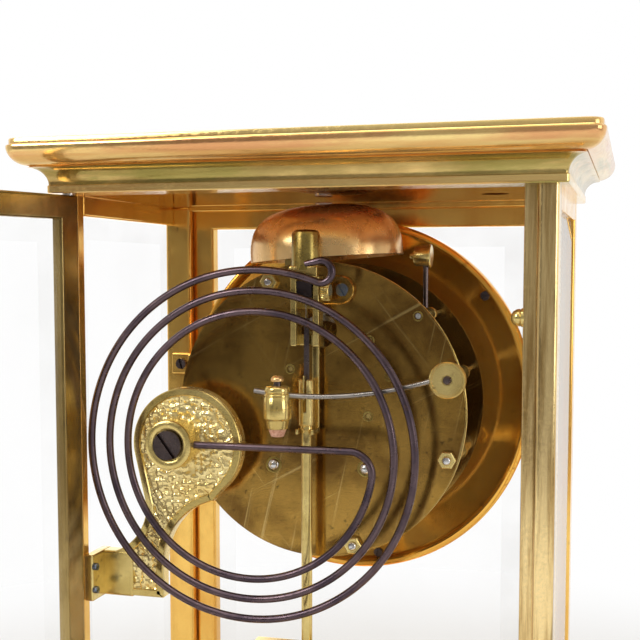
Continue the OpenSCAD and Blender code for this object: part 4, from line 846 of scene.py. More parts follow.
# %% Turn the gong hammer
HAMMER = "gong_hammer"
ARM_IN, DISC_R, DROP, ARBOR_R = 2.8, 5.1, 5.0, 0.8
pivot = axle("gong_hammer_swing")
arm_y = wire_y - ARM_IN
strike_x = (low("gong_hammer_tip")[0] + high("gong_hammer_tip")[0]) / 2
head_z = pivot[2] - DROP
head_place = (strike_x, arm_y, head_z)
lathe("gong_hammer_arbor", pin(ARBOR_R, low("gong_hammer")[1], arm_y - 1), pivot, bright_steel, HAMMER,
      sides=32)
lathe("gong_hammer_disc", [
    (0, arm_y - 1.5), (4.6, arm_y - 1.5), (DISC_R, arm_y - 1.1), (DISC_R, arm_y + 0.6), (4.75, arm_y + 0.95),
    (4.4, arm_y + 0.95), (4.2, arm_y + 0.75), (1.5, arm_y + 0.72), (1.4, arm_y + 0.4), (0, arm_y + 0.4)],
    pivot, rim_brass, HAMMER)
lathe("gong_hammer_pivot", [(0, arm_y - 0.5), (1.2, arm_y - 0.5), (1.2, arm_y + 0.8), (0.9, arm_y + 1.1),
                            (0, arm_y + 1.2)], pivot, dark_steel, HAMMER, sides=40)
ARM_SAG, ARM_PAST, ARM_R, ARM_OUT = 3.0, 6.9, 0.8, 4.2
arm_at = np.linspace(0, 1, 30)[:, None]
arm_start, arm_end = [pivot[0] + ARM_OUT, pivot[2] - 0.2], [strike_x + ARM_PAST, head_z + 0.6]
arm_path = (1 - arm_at) * arm_start + arm_at * arm_end - 4 * ARM_SAG * arm_at * (1 - arm_at) * [0, 1]
skin("gong_hammer_arm", wire(arm_path, ARM_R, arm_y), wire_steel, HAMMER)
lathe("gong_hammer_barrel", [
    (0, -10.2), (2.95, -10.2), (3.1, -10.0), (3.4, -7.9), (3.6, -7.5), (4.05, -7.2), (4.15, -6.9),
    (4.08, -4.5), (4.0, -4.42), (4.0, -4.3), (4.08, -4.22), (3.98, -1.2), (3.8, -0.95), (3.8, -0.8),
    (3.95, -0.65), (3.95, -0.3), (3.8, -0.1), (3.5, 0.0), (3.5, 0.3), (3.7, 0.45), (3.75, 0.9),
    (3.65, 1.5), (3.4, 1.95), (3.0, 2.15), (0, 2.2)], head_place, rim_brass, HAMMER, "z", node="gong_hammer")
lathe("gong_hammer_neck", pin(1.1, 2.0, 3.5), head_place, dark_steel, HAMMER, "z", 48)
lathe("gong_hammer_cap", [(0, 3.35), (1.5, 3.35), (1.85, 3.55), (1.95, 3.95), (1.75, 4.5), (1.25, 4.9),
                          (0.6, 5.1), (0, 5.15)], head_place, bell_bronze, HAMMER, "z", 48)
PLATE_T, TRAIN_D, TAIL, TAIL_HALF, TAIL_TAPER = 1.6, 14.2, 15.5, 0.8, 0.7
second_y = plate_rear - PLATE_T - TRAIN_D
tail_root = np.array(pivot)[[0, 2]]
tail_way = axis_point("pin_wheel_turn")[[0, 2]] - tail_root
tail_way = tail_way / np.linalg.norm(tail_way)
tail_side = np.array([-tail_way[1], tail_way[0]]) * TAIL_HALF
tail_tip = tail_root + tail_way * TAIL
tail = np.stack([tail_root + tail_side, tail_tip + tail_side * TAIL_TAPER, tail_tip - tail_side * TAIL_TAPER,
                 tail_root - tail_side])
skin("gong_hammer_tail", cut_plate(tail, second_y + 2.2, second_y + 3.4, 0.1), bright_steel, HAMMER)
lathe("gong_hammer_boss", pin(2.2, second_y + 1.8, second_y + 3.8), pivot, work_brass, HAMMER, sides=40)
lathe("gong_hammer_leather", [(0, -12.5), (1.5, -12.5), (1.85, -12.35), (2.0, -12.0), (2.5, -10.6),
                              (2.6, -10.2), (0, -10.1)], head_place, leather, HAMMER, "z", 48,
      node="gong_hammer_tip")
print("hammer head", round(strike_x, 2), round(head_z, 2))

# %% [markdown]
# The bell is spun from thin bronze: a shallow dome with a nearly upright skirt. Its outline is a
# superellipse turned round an axis that leans a few degrees, and a second, smaller one is its inside.

# %% Spin the bell
BELL_R, BELL_H, BELL_WALL, BELL_POWER, BELL_TILT = 23.7, 16.4, 1.4, 2 / 3, math.radians(3.7)
BELL_IN, BELL_DOWN, BELL_LEFT, BELL_HOLE = 18.4, 1.8, 4.1, 1.66
bell_crown = np.array([BELL_LEFT, plate_rear - PLATE_T - BELL_IN, ceiling - BELL_DOWN])
bell_at = np.linspace(0, np.pi / 2, 44)


def dome(radius, tall):
    """Quarter superellipse from the lip to the crown, as (radius, height) points."""
    out, up = np.cos(bell_at) ** BELL_POWER, np.sin(bell_at) ** BELL_POWER
    return np.stack([radius * out, tall * up - BELL_H], axis=-1)


bell_profile = np.concatenate([dome(BELL_R, BELL_H), dome(BELL_R - BELL_WALL, BELL_H - BELL_WALL)[::-1]])
bell_profile[:, 0] = np.maximum(bell_profile[:, 0], BELL_HOLE)
tilt_cos, tilt_sin = math.cos(BELL_TILT), math.sin(BELL_TILT)
lean = np.array([[tilt_cos, 0, -tilt_sin], [0, 1, 0], [tilt_sin, 0, tilt_cos]])
bell_rows = turned(bell_profile, (0, 0, 0), axis="z", sides=128) @ lean + bell_crown
skin("bell_dome", bell_rows, bell_bronze, ring=True, node="bell")
print("bell lip radius", BELL_R)

# %% [markdown]
# The movement is screwed into a pan: a flat ring with an upturned rim, polished like gold because it
# frames the dial from behind. It is turned in one profile. The bezel in front of it is a stepped ring.

# %% Turn the dial ring and bezel
RING_HOLE, RING_T, RIM, FINE = 34.0, 1.2, 2.4, 192
ring_r = high("dial_ring")[2] - dial_z
ring_front, ring_rear = low("dial_ring")[1], high("dial_ring")[1]
pan_back, rim_in = ring_front + RING_T, ring_r - RIM
lathe("dial_pan", [
    (RING_HOLE, ring_front), (ring_r - 0.3, ring_front), (ring_r, ring_front + 0.3),
    (ring_r, ring_rear - 0.9), (ring_r - 0.25, ring_rear - 0.3), (ring_r - 0.8, ring_rear),
    (rim_in + 0.6, ring_rear), (rim_in + 0.1, ring_rear - 0.4), (rim_in, ring_rear - 1.0),
    (rim_in, pan_back + 0.8), (rim_in - 0.25, pan_back + 0.2), (rim_in - 0.8, pan_back),
    (RING_HOLE + 0.2, pan_back), (RING_HOLE, pan_back - 0.2)], dial_place, ring_brass, sides=FINE,
    ring=True, node="dial_ring")
dial_r = high("dial")[0]
bezel_out, bezel_y = high("bezel")[0], low("bezel")[1]
lathe("bezel_ring", [
    (dial_r + 0.2, ring_front), (bezel_out, ring_front), (bezel_out, bezel_y + 1.6),
    (bezel_out - 0.25, bezel_y + 1.25), (bezel_out - 0.8, bezel_y + 1.15), (bezel_out - 0.85, bezel_y + 0.6),
    (bezel_out - 1.5, bezel_y + 0.1), (bezel_out - 2.6, bezel_y), (dial_r + 1.4, bezel_y + 0.15),
    (dial_r, bezel_y + 0.55), (dial_r - 1.2, bezel_y + 1.0), (dial_r - 1.4, bezel_y + 1.2),
    (dial_r + 0.2, bezel_y + 1.2)], dial_place, rim_brass, sides=FINE, ring=True, node="bezel")
print("ring radius", round(ring_r, 2), "bezel", round(bezel_out, 2))

# %% [markdown]
# The cornice and the base are mouldings: one profile of rounds and hollows, mitred round the four sides.
# A profile point is a distance out from the posts and a height, and each becomes one rectangular loop
# whose corners are a little rounder the farther out it lies, as handling wears them.

# %% Run the mouldings
CORNER_MIN, CORNER_GROW, CORNER_POINTS, MITRE = 0.5, 0.3, 6, 30
COVE_R, OVOLO_R, RECESS_UP, RECESS_GAP, HOLLOW_TOP, RIB_HALF = 4.7, 5.2, 2.2, 0.1, 15.0, 3


def loop_at(half_a, half_b, radius, level):
    """A rounded rectangle at one level."""
    loop = rounded_loop(half_a, half_b, radius, CORNER_POINTS)
    return np.column_stack([loop, np.full(len(loop), level)])


def moulding(name, profile, foot, hollow, hollow_up, node):
    """Skin a moulding: the hollow on its inside, and a loop for each (out, up) point of the profile."""
    rows = [loop_at(*hollow, CORNER_MIN, foot + up) for up in (hollow_up, 0)]
    rows += [loop_at(half_w + out, half_d + out, CORNER_MIN + CORNER_GROW * out, foot + up)
             for out, up in profile]
    skin(name, rows, cornice_brass, crease=MITRE, node=node)


cornice_profile = np.concatenate([
    [(2.3, 0), (2.6, 0.3), (2.6, 2.1)], arc((2.3 + COVE_R, 2.4), COVE_R, 180, 90, 14),
    [(6.7, 7.1), (6.5, 7.5)], arc((6.4, 7.5 + OVOLO_R), OVOLO_R, 270, 360, 14),
    [(11.5, 13.0), (11.25, 13.2), (11.0, 13.25), (10.9, 13.4), (10.9, 14.6), (10.8, 14.85), (10.5, 15)]])
recess = high("ceiling_plate")[:2] + RECESS_GAP
moulding("cornice_moulding", cornice_profile, ceiling, recess, RECESS_UP, "cornice")
base_profile = np.concatenate([
    [(12.6, 0), (13, 0.4), (13, 4.6), (12.6, 5)], arc((6.2, 5), 6.0, 0, 90, 14),
    [(5.8, 11.2), (5.8, 11.8)], arc((5.9, 16), 4.2, 270, 180, 14), [(1.5, 16.2), (1.5, 23.6), (1.1, 24)]])
post_in = half_w - post_w
moulding("base_moulding", base_profile, 0, (post_in, bay_d), HOLLOW_TOP, "base")
block("base_rib", (-post_in, -RIB_HALF, 0), (post_in, RIB_HALF, HOLLOW_TOP), 0.3, case_brass, axis="x")
print("cornice rows", len(cornice_profile) + 2, "base rows", len(base_profile) + 2)

# %% [markdown]
# The posts are drawn brass. Three of them are plain bars with softened edges; the rear right one is an
# L, with a rounded main limb and a lower strip that the door shuts against, and a fine groove between.
# The side frames are closed above and below by flat rails.

# %% Draw the posts and rails
EDGE, SLIM_EDGE, SUNK, RAIL_LAP = 0.9, 0.5, 0.4, 1.7
LIMB_R, STRIP_R, GROOVE = 1.4, 0.5, 0.45
LIMB_BACK, STRIP_BACK = 3.7, 4.3
post_low, post_high = base_top - SUNK, ceiling + SUNK


def across(side, x_0, x_1):
    """Two distances from the middle on one side of the clock, as a lower and a higher x."""
    return sorted((side * x_0, side * x_1))


for side, name in ((1, "front_left"), (-1, "front_right")):
    x_0, x_1 = across(side, post_in, half_w)
    block(name + "_bar", (x_0, -half_d, post_low), (x_1, -half_d + post_w, post_high), EDGE, amber_brass,
          node=name + "_post")
slim_rear = high("rear_left_post")[1]
block("rear_left_bar", (side_in, bay_d, post_low), (half_w, slim_rear, post_high), SLIM_EDGE, amber_brass,
      node="rear_left_post")
strip_x, strip_y = -post_in, half_d - STRIP_BACK
limb_x = strip_x - LIMB_BACK
rear_right = np.concatenate([
    [(-half_w, bay_d), (strip_x, bay_d)],
    eased((strip_x - STRIP_R, strip_y - STRIP_R), STRIP_R, 0, 90, 6, 0.15),
    [(limb_x + GROOVE, strip_y), (limb_x + GROOVE, strip_y - GROOVE), (limb_x, strip_y - GROOVE)],
    eased((limb_x - LIMB_R, half_d - LIMB_R), LIMB_R, 0, 90, 9, 0.3),
    eased((LIMB_R - half_w, half_d - LIMB_R), LIMB_R, 90, 180, 9, 0.3)])
skin("rear_right_bar", cut_plate(rear_right, post_low, post_high, 0.05, "z"), case_brass,
     node="rear_right_post")
rail_h = low("side_glass")[2] - base_top + RAIL_LAP
for side, name in ((1, "left"), (-1, "right")):
    x_0, x_1 = across(side, side_in, half_w)
    for end, z in (("low", post_low), ("high", post_high - rail_h)):
        block(f"side_rail_{name}_{end}", (x_0, -bay_d, z), (x_1, bay_d, z + rail_h), 0.6, amber_brass,
              axis="y", node="side_rails" if (name, end) == ("left", "low") else None)
print("posts", round(post_high - post_low, 1), "rail", round(rail_h, 2))

# %% [markdown]
# A door is one brass section carried round a rectangle and mitred at the corners. The section is a
# rounded bar, so a row of the skin is that bar's outline set on the corner's diagonal. The panes are
# ground to a slope round their edge, and the slope is painted a little greyer than the flat of the
# glass: painted reflection, standing in for what the slope bends and mirrors.

# %% Helpers for doors and panes
STILE_W, STILE_EDGE, PANE_LAP, BEVEL_W, BEVEL_FOOT, PANE_HALF = 7.0, 0.8, 1.5, 8.0, 0.55, 1.0
BEVEL_LEAST, BEVEL_MOST, GLASS_CREASE = 0.9, 0.9985, 2


def swung(points, hinge, turn):
    """Points drawn about a door's hinge line, turned about Z by an angle and set on the hinge."""
    c, s = math.cos(turn), math.sin(turn)
    return points @ np.array([[c, s, 0], [-s, c, 0], [0, 0, 1]]) + np.array([*hinge, 0])


def mitred_frame(x_0, x_1, z_0, z_1, wall):
    """Rows of a frame: the bar's section on each corner's diagonal, out of the rectangle's edge inwards."""
    section = rounded_loop(STILE_W / 2, wall / 2, STILE_EDGE, 6) + np.array([STILE_W / 2, 0])
    corner = np.array([(x_0, z_0, 1, 1), (x_1, z_0, -1, 1), (x_1, z_1, -1, -1), (x_0, z_1, 1, -1)])
    x = corner[:, 0:1] + corner[:, 2:3] * section[None, :, 0]
    z = corner[:, 1:2] + corner[:, 3:4] * section[None, :, 0]
    return np.stack([x, np.broadcast_to(section[None, :, 1], x.shape), z], axis=-1)


def bevelled_pane(x_0, x_1, z_0, z_1, back, face):
    """Rows of a pane: the back's rectangle, its edge, and the smaller rectangle of its flat face."""
    rows = [(0, back), (0, back + BEVEL_FOOT * (face - back)), (BEVEL_W, face)]
    return np.array([[(x_0 + i, y, z_0 + i), (x_1 - i, y, z_0 + i), (x_1 - i, y, z_1 - i),
                      (x_0 + i, y, z_1 - i)] for i, y in rows])


def glaze(name, rows, node, body):
    """Skin a pane with flat faces; those that lean a little from the last, flat one are bevel, in greyer glass
    that is painted reflection.
    """
    pane = skin(name, rows, clear_glass, body, crease=GLASS_CREASE, node=node)
    # The sloped faces take the greyer second finish, which is painted reflection.
    pane.data.materials.append(bevel_painted_reflection)
    normals = np.empty(3 * len(pane.data.polygons))
    pane.data.polygons.foreach_get("normal", normals)
    normals = normals.reshape(-1, 3)
    facing = np.abs(normals @ normals[-1])
    sloped = (facing > BEVEL_LEAST) & (facing < BEVEL_MOST)
    pane.data.polygons.foreach_set("material_index", sloped.astype(np.int32))


print("stile", STILE_W, "bevel", BEVEL_W)

# %% [markdown]
# Both doors are drawn about their own hinge line and then swung to where the photograph has them: the
# front one is shut and the rear one stands wide open. Each has a turned knob, and plain beads close
# the gaps behind the front door's rails.

# %% Hang the doors and set the side panes
FRONT_GAP, REAR_GAP, REAR_TURN, PANE_IN = 0.6, 5.9, math.radians(-107), 1.6
KNOB = [(0, -2.4), (1.2, -2.4), (1.2, 0), (2.3, 0), (2.5, 0.3), (2.3, 0.8), (1.6, 1.1), (1.35, 1.7),
        (1.6, 2.2), (2.5, 2.7), (3.15, 3.5), (3.4, 4.6), (3.2, 5.8), (2.4, 7.0), (1.4, 7.75),
        (0.5, 7.98), (0, 8)]
door_z0, door_z1 = low("rear_door_frame")[2], high("rear_door_frame")[2]
lap = STILE_W - PANE_LAP
for name, wide, wall, outer, turn, finish in (
        ("front_door", 2 * post_in - FRONT_GAP, 5.0, -1, 0.0, amber_brass),
        ("rear_door", 2 * half_w - REAR_GAP, 4.0, 1, REAR_TURN, door_brass)):
    hinge = axis_point(name + "_hinge")[:2]
    x_1 = wall / 2
    x_0 = x_1 - wide
    skin(name + "_stiles", swung(mitred_frame(x_0, x_1, door_z0, door_z1, wall), hinge, turn), finish, name,
         ring=True, crease=MITRE, node=name + "_frame")
    face = outer * PANE_HALF
    pane = bevelled_pane(x_0 + lap, x_1 - lap, door_z0 + lap, door_z1 - lap, -face, face)
    glaze(name + "_pane", swung(pane, hinge, turn), name + "_glass", name)
    knob = turned(KNOB, (0, 0, 0), "y", 48) * np.array([1, outer, 1])
    knob = knob + np.array([x_0 + STILE_W / 2, outer * wall / 2, (door_z0 + door_z1) / 2])
    skin(name + "_pull", swung(knob, hinge, turn), rim_brass, name, node=name + "_knob")
(_, pane_y0, pane_z0), (_, pane_y1, pane_z1) = low("side_glass"), high("side_glass")
for side, name in ((1, "side_pane_left"), (-1, "side_pane_right")):
    pane = bevelled_pane(pane_y0, pane_y1, pane_z0, pane_z1, -PANE_HALF, PANE_HALF)
    pane = np.stack([side * (half_w - PANE_IN + pane[..., 1]), pane[..., 0], pane[..., 2]], axis=-1)
    glaze(name, pane, "side_glass", "case")
STOP_D, STOP_LAP, STOP_GAP = 2.0, 0.7, 0.3
stop_h = ceiling - door_z1 + STOP_LAP
stop_y = high("front_door_frame")[1] + STOP_GAP
stop_x = post_in + SUNK
for name, z in (("high", ceiling - stop_h), ("low", post_low)):
    block(f"door_stop_{name}", (-stop_x, stop_y, z), (stop_x, stop_y + STOP_D, z + stop_h + SUNK), 0.3,
          amber_brass, axis="x")
print("door height", round(door_z1 - door_z0, 1))

# %% [markdown]
# Clock screws are small cheese heads with a straight slot, some left bright and some blued over a flame.
# Every one of them is made by the helper that made the gong's screw, which turns a slot by any angle.

# %% Drive the screws
RING_SCREW_R, RING_HEAD, HEAD, LUG_HEAD, BELL_HEAD, RISE = 54.0, 1.5, 1.9, 1.1, 2.8, 1.2
BRACKET_IN, BRACKET_UP, BRACKET_T, LUG_SCREW_IN, LUG_MID = 6.3, 8.8, 1.4, 3.5, 2.85
COCK_UP, COCK_SCREW_X, FOOT_T, BELL_SEAT = 3.5, -7.7, 2.0, 0.1
for number, degrees in enumerate((22, 142, 262)):
    x, z = arc((dial_x, dial_z), RING_SCREW_R, degrees, degrees, 1)[0]
    slotted_head(f"ring_screw_{number}", (x, 0, z), pan_back, RING_HEAD, RISE, dark_steel, 0.7 + number)
for side, name in ((1, "left"), (-1, "right")):
    place = (side * (half_w - BRACKET_IN), 0, dial_z + BRACKET_UP)
    slotted_head(f"bracket_screw_{name}", place, BRACKET_T - bay_d, HEAD, RISE, dark_steel, 0.3 * side)
flex_z = axis_point("verge_swing")[2]
foot_mid = flex_z + COCK_UP
slotted_head("cock_screw", (COCK_SCREW_X, 0, foot_mid), plate_rear + FOOT_T, HEAD, RISE, screw_steel, 0.5,
             node="slotted_screws")
for number, up in enumerate((LUG_SCREW_IN, LUG_H - LUG_SCREW_IN)):
    slotted_head(f"lug_screw_{number}", (0, bay_d + LUG_MID, lug_z + up), LUG_T - side_in, LUG_HEAD, RISE,
                 screw_steel, 0.4, "-x")
bell_up = np.array([tilt_sin, 0, tilt_cos])
slotted_head("bell_screw", bell_crown - bell_up * BELL_SEAT, 0.0, BELL_HEAD, 1.0, bright_steel, 0.6, "z")

# %% [markdown]
# The back of the movement carries the suspension. A cock is screwed to the plate: a foot, a block that
# stands out, a thick round post on it and two cheeks between which the spring hangs. A small milled
# wheel at its side lifts or lowers the spring to set the rate.

# %% Build the suspension cock
FOOT_R, STEM_R, STEM_OUT, STEM_UP, CHEEK_T, CHEEK_LOW = 4.2, 4.1, 8.2, 9.4, 1.7, 12.6
RATE_R, RATE_T, RATE_TEETH, RATE_AXLE_R, RATE_AXLE_END = 2.6, 2.5, 26, 0.7, -0.9
RIPPLE, RIPPLE_IN, CHAMFER, SHARP = 0.08, 0.35, 0.3, 3
cock_low, cock_high = low("suspension_cock"), high("suspension_cock")
cock_x0, cock_x1 = -2.7, 5.7
pend_x, pend_y = axis_point("pendulum_swing")[:2]
foot = np.concatenate([arc((cock_high[0] - FOOT_R, foot_mid), FOOT_R, -90, 90, 18),
                       arc((cock_low[0] + FOOT_R, foot_mid), FOOT_R, 90, 270, 18)])
skin("cock_foot", cut_plate(foot, plate_rear, plate_rear + FOOT_T, 0.3), plate_brass, node="suspension_cock")
block("cock_block", (cock_x0, plate_rear, flex_z + 7), (cock_x1, plate_rear + 12, flex_z + 10.4), 0.5,
      work_brass, axis="y")
lathe("cock_post", [(0, 0), (STEM_R, 0), (STEM_R, 9.6), (STEM_R - 0.3, 10.6), (STEM_R - 1.2, 11.2),
                    (0, 11.4)], (pend_x, plate_rear + STEM_OUT, flex_z + STEM_UP), post_brass, axis="z")
# Name, x, y from the plate and z from the spring's bend, each from and to, then edge, axis and finish
for name, x, y, z, edge, axis, finish in (
        ("cheek_right", (cock_x0, cock_x0 + CHEEK_T), (5, 10), (-CHEEK_LOW, 8), 0.25, "z", rim_brass),
        ("cheek_left", (cock_x1 - CHEEK_T, cock_x1), (5, 10), (-CHEEK_LOW, 8), 0.25, "z", rim_brass),
        ("tie", (cock_x0, cock_x1), (5, 6.2), (-CHEEK_LOW, -9.4), 0.25, "x", rim_brass),
        ("bridge", (cock_x0, cock_x1), (4.6, 6), (-2, 2), 0.3, "x", work_brass)):
    block("cock_" + name, (x[0], plate_rear + y[0], flex_z + z[0]), (x[1], plate_rear + y[1], flex_z + z[1]),
          edge, finish, axis=axis)


def milled(radius, start, end, teeth, place, axis):
    """Rows of a milled wheel between two levels of its axle: a circle that ripples once for each tooth."""
    turn = np.linspace(0, 2 * np.pi, 8 * teeth, endpoint=False)
    reach = radius - np.array([RIPPLE_IN, RIPPLE, RIPPLE, RIPPLE_IN])[:, None]
    reach = reach + RIPPLE * np.tanh(SHARP * np.cos(teeth * turn))[None]
    level = np.array([start, start + CHAMFER, end - CHAMFER, end])[:, None] + 0 * reach
    local = np.stack([reach * np.cos(turn), reach * np.sin(turn), level], axis=-1)
    return local @ FRAMES[axis] + np.array(place)


rate_place = (0, *axis_point("rating_turn")[1:])
wheel_x = low("rating_wheel")[0]
skin("rating_disc", milled(RATE_R, wheel_x, wheel_x + RATE_T, RATE_TEETH, rate_place, "x"), rim_brass,
     "rating_wheel", node="rating_wheel")
lathe("rating_axle", pin(RATE_AXLE_R, wheel_x + 2, RATE_AXLE_END), rate_place, bright_steel, "rating_wheel",
      "x", 24)
print("cock from", np.round(cock_low, 1), "to", np.round(cock_high, 1))

# %% [markdown]
# The crutch is a flat brass strip that hangs from the anchor's arbor and takes the pendulum in a fork. The
# pendulum itself is a dark leader on a spring, a round brass hook with a slot through it and a long rod.

# %% Hang the crutch, the leader and the hook
CRUTCH_T, CRUTCH_W, FORK_H, PRONG, PRONG_OUT, THIN_EDGE = 1.0, 2.0, 1.5, 0.85, 2.6, 0.2
HOOK_H, HOOK_R, HALF_SLOT, WEB_H, WEB_IN = 13.5, 2.4, 0.55, 4.0, 0.02
EYE_HOLE, EYE_OUT, LEADER_EDGE = 0.8, 2.2, 0.12
crutch_y, fork_low = low("crutch")[1:]
crutch_back, fork_high = crutch_y + CRUTCH_T, fork_low + FORK_H
fork_x1 = high("crutch")[0]
fork_x0 = 2 * pend_x - fork_x1
block("crutch_strip", (-CRUTCH_W / 2, crutch_y, fork_low), (CRUTCH_W / 2, crutch_back, flex_z), THIN_EDGE,
      rim_brass, "verge", node="crutch")
lathe("crutch_eye", [(EYE_HOLE, crutch_y), (EYE_OUT, crutch_y), (EYE_OUT, crutch_y + 0.8),
                     (EYE_OUT - 0.2, crutch_back), (EYE_HOLE, crutch_back)], (0, 0, flex_z), rim_brass,
      "verge", sides=48, ring=True)
block("crutch_fork", (fork_x0, crutch_y, fork_low), (fork_x1, crutch_back, fork_high), THIN_EDGE, rim_brass,
      "verge", "x")
for name, x in (("right", fork_x0), ("left", fork_x1 - PRONG)):
    block(f"crutch_prong_{name}", (x, crutch_y, fork_low), (x + PRONG, pend_y + PRONG_OUT, fork_high),
          THIN_EDGE, rim_brass, "verge", "y")
hook_high = low("suspension_leader")[2]
hook_low = hook_high - HOOK_H
rod_place = (pend_x, pend_y, 0)
block("leader_strip", (pend_x - 0.8, pend_y - 0.3, hook_high - 0.5),
      (pend_x + 0.8, pend_y + 0.3, flex_z - 4.6), LEADER_EDGE, dark_steel, "pendulum",
      node="suspension_leader")
block("leader_spring", (pend_x - 0.1, pend_y - 0.8, flex_z - 6), (pend_x + 0.1, pend_y + 0.8, flex_z + 0.8),
      0.04, bright_steel, "pendulum")
cheek_turn = math.degrees(math.acos(HALF_SLOT / HOOK_R))
for name, toward in (("right", 180), ("left", 0)):
    cheek = arc((pend_x, pend_y), HOOK_R, toward - cheek_turn, toward + cheek_turn, 30)
    skin(f"hook_cheek_{name}", cut_plate(cheek, hook_low + WEB_H - 0.5, hook_high, 0.3, "z"), rim_brass,
         "pendulum")
lathe("hook_web", [(0, hook_low), (HOOK_R - 0.3, hook_low), (HOOK_R - WEB_IN, hook_low + 0.3),
                   (HOOK_R - WEB_IN, hook_low + WEB_H), (0, hook_low + WEB_H)], rod_place, rim_brass,
      "pendulum", "z", 48)
block("hook_tongue", (pend_x + 0.1, pend_y + 0.3, hook_low + 7.5),
      (pend_x + 0.5, pend_y + 2.2, hook_high + 1.2), LEADER_EDGE, rim_brass, "pendulum")
print("hook from", round(hook_low, 1), "to", round(hook_high, 1))

# %% [markdown]
# Below the case's middle the rod carries two steel tubes between two bars, in the manner of a quicksilver
# pendulum, and a milled nut under them sets the height.

# %% Hang the bob
BAR_H, BAR_W, BAR_D, BAR_EDGE, TUBE_R, TUBE_X, NUT_H = 5.0, 34.0, 9.0, 0.8, 7.0, 8.4, 6.0
BOB_NUT_R, BOB_NUT_TEETH = 5.0, 36
rod_low = low("pendulum_rod")[2]
lathe("pendulum_shaft", [
    (0, rod_low), (1.2, rod_low), (1.6, rod_low + 0.5), (1.6, hook_low - 1.5), (1.9, hook_low - 1.2),
    (1.9, hook_low - 0.2), (1.6, hook_low + 0.4), (0, hook_low + 0.4)], rod_place, rim_brass, "pendulum",
    "z", 48, node="pendulum_rod")
bob_low, bob_high = low("pendulum_bob")[2], high("pendulum_bob")[2]
tube_low, tube_high = bob_low + NUT_H + BAR_H, bob_high - BAR_H
for name, side in (("right", -1), ("left", 1)):
    lathe(f"bob_tube_{name}", [
        (0, tube_low - 0.5), (TUBE_R - 0.2, tube_low - 0.5), (TUBE_R, tube_low), (TUBE_R, tube_low + 1.6),
        (TUBE_R - 0.5, tube_low + 2), (TUBE_R - 0.5, tube_high - 2), (TUBE_R, tube_high - 1.6),
        (TUBE_R, tube_high), (0, tube_high + 0.5)], (pend_x + side * TUBE_X, pend_y, 0), bright_steel,
        "pendulum", "z")
for name, z in (("low", bob_low + NUT_H), ("high", tube_high)):
    block(f"bob_bar_{name}", (pend_x - BAR_W / 2, pend_y - BAR_D / 2, z),
          (pend_x + BAR_W / 2, pend_y + BAR_D / 2, z + BAR_H), BAR_EDGE, rim_brass, "pendulum", "x")
skin("bob_nut", milled(BOB_NUT_R, bob_low, bob_low + NUT_H, BOB_NUT_TEETH, rod_place, "z"), rim_brass,
     "pendulum", node="pendulum_bob")
print("pendulum from", round(rod_low, 1), "to", round(flex_z, 1))

# %% [markdown]
# Hexagon nuts hold the plates to their pillars, and a bright stud shows in each. The arbors end in
# pivots that sit in sunk rings, and the plate's turned edge catches a line of light.

# %% Nuts, pivots and the plate's edge
PILLARS = ((15.1, 37.9), (-10.7, -39.6), (38.4, -13.0), (-38.4, -13.0))
NUT_R, NUT_RISE, NUT_EDGE, STUD_R = 2.7, 2.0, 0.25, 1.3
nut_top = plate_rear + NUT_RISE
for number, (x, up) in enumerate(PILLARS):
    hexagon = arc((x, dial_z + up), NUT_R, 0, 300, 6)
    for end, level in (("rear", plate_rear), ("front", low("pillar_nuts")[1])):
        skin(f"plate_nut_{end}_{number}", cut_plate(hexagon, level, level + NUT_RISE, NUT_EDGE), rim_brass,
             node="pillar_nuts" if (end, number) == ("rear", 0) else None)
    lathe(f"plate_stud_{number}", [
        (0, plate_rear - 0.5), (STUD_R, plate_rear - 0.5), (STUD_R, nut_top + 0.3),
        (STUD_R * 0.7, nut_top + 0.75), (0, nut_top + 0.9)], (x, 0, dial_z + up), bright_steel, sides=32)
for name in ("going", "strike"):
    lathe(f"{name}_sink", [(1.75, plate_rear - 0.1), (2.5, plate_rear - 0.1), (2.5, plate_rear + 0.05),
                           (2.3, plate_rear + 0.12), (1.75, plate_rear + 0.02)], axle(name + "_wind"),
          post_brass, sides=48, ring=True)
for number, joint in enumerate(("second_turn", "pin_wheel_turn", "third_turn", "warning_turn", "fly_turn",
                                "bell_hammer_swing")):
    lathe(f"pivot_sink_{number}", [
        (0.85, plate_rear - 0.2), (1.5, plate_rear - 0.1), (1.5, plate_rear + 0.03),
        (1.35, plate_rear + 0.05), (0.85, plate_rear - 0.05)], axle(joint), post_brass, sides=32, ring=True)
plate_r, plate_front = high("back_plate")[0], low("back_plate")[1]
lathe("back_plate_edge", [
    (plate_r - 0.3, plate_rear + 0.02), (plate_r + 0.08, plate_rear - 0.3),
    (plate_r + 0.08, plate_front + 0.3), (plate_r - 0.3, plate_front - 0.02),
    (plate_r - 0.4, plate_front + 0.3), (plate_r - 0.4, plate_rear - 0.3)],
    dial_place, rim_brass, sides=FINE, ring=True)
print("pillars", len(PILLARS), "plate radius", round(plate_r, 2))

# %% [markdown]
# From the front the clock is an enamel dial with Roman numbers, a minute track and blued hands. The numbers
# are text turned into a mesh; the track's sixty strokes are one array of small boxes. All of it lies on
# the enamel like fired paint, a few hundredths of a millimetre thick.

# %% Paint the dial
INK_T, NUMBER_R, NUMBER_H, NUMBER_FAT, NUMBER_NARROW = 0.06, 37.6, 8.6, 0.16, 0.82
TRACK_IN, TRACK_OUT, LINE_HALF, STROKE_HALF, FIFTH_HALF = 43.4, 46.4, 0.12, 0.16, 0.45
HOURS = ("XII", "I", "II", "III", "IV", "V", "VI", "VII", "VIII", "IX", "X", "XI")
# A stroke of the track is a box: the corners of its six faces
BOX = np.array([[0, 1, 2, 3], [4, 7, 6, 5], [0, 4, 5, 1], [1, 5, 6, 2], [2, 6, 7, 3], [3, 7, 4, 0]])
dial_face = low("dial")[1]


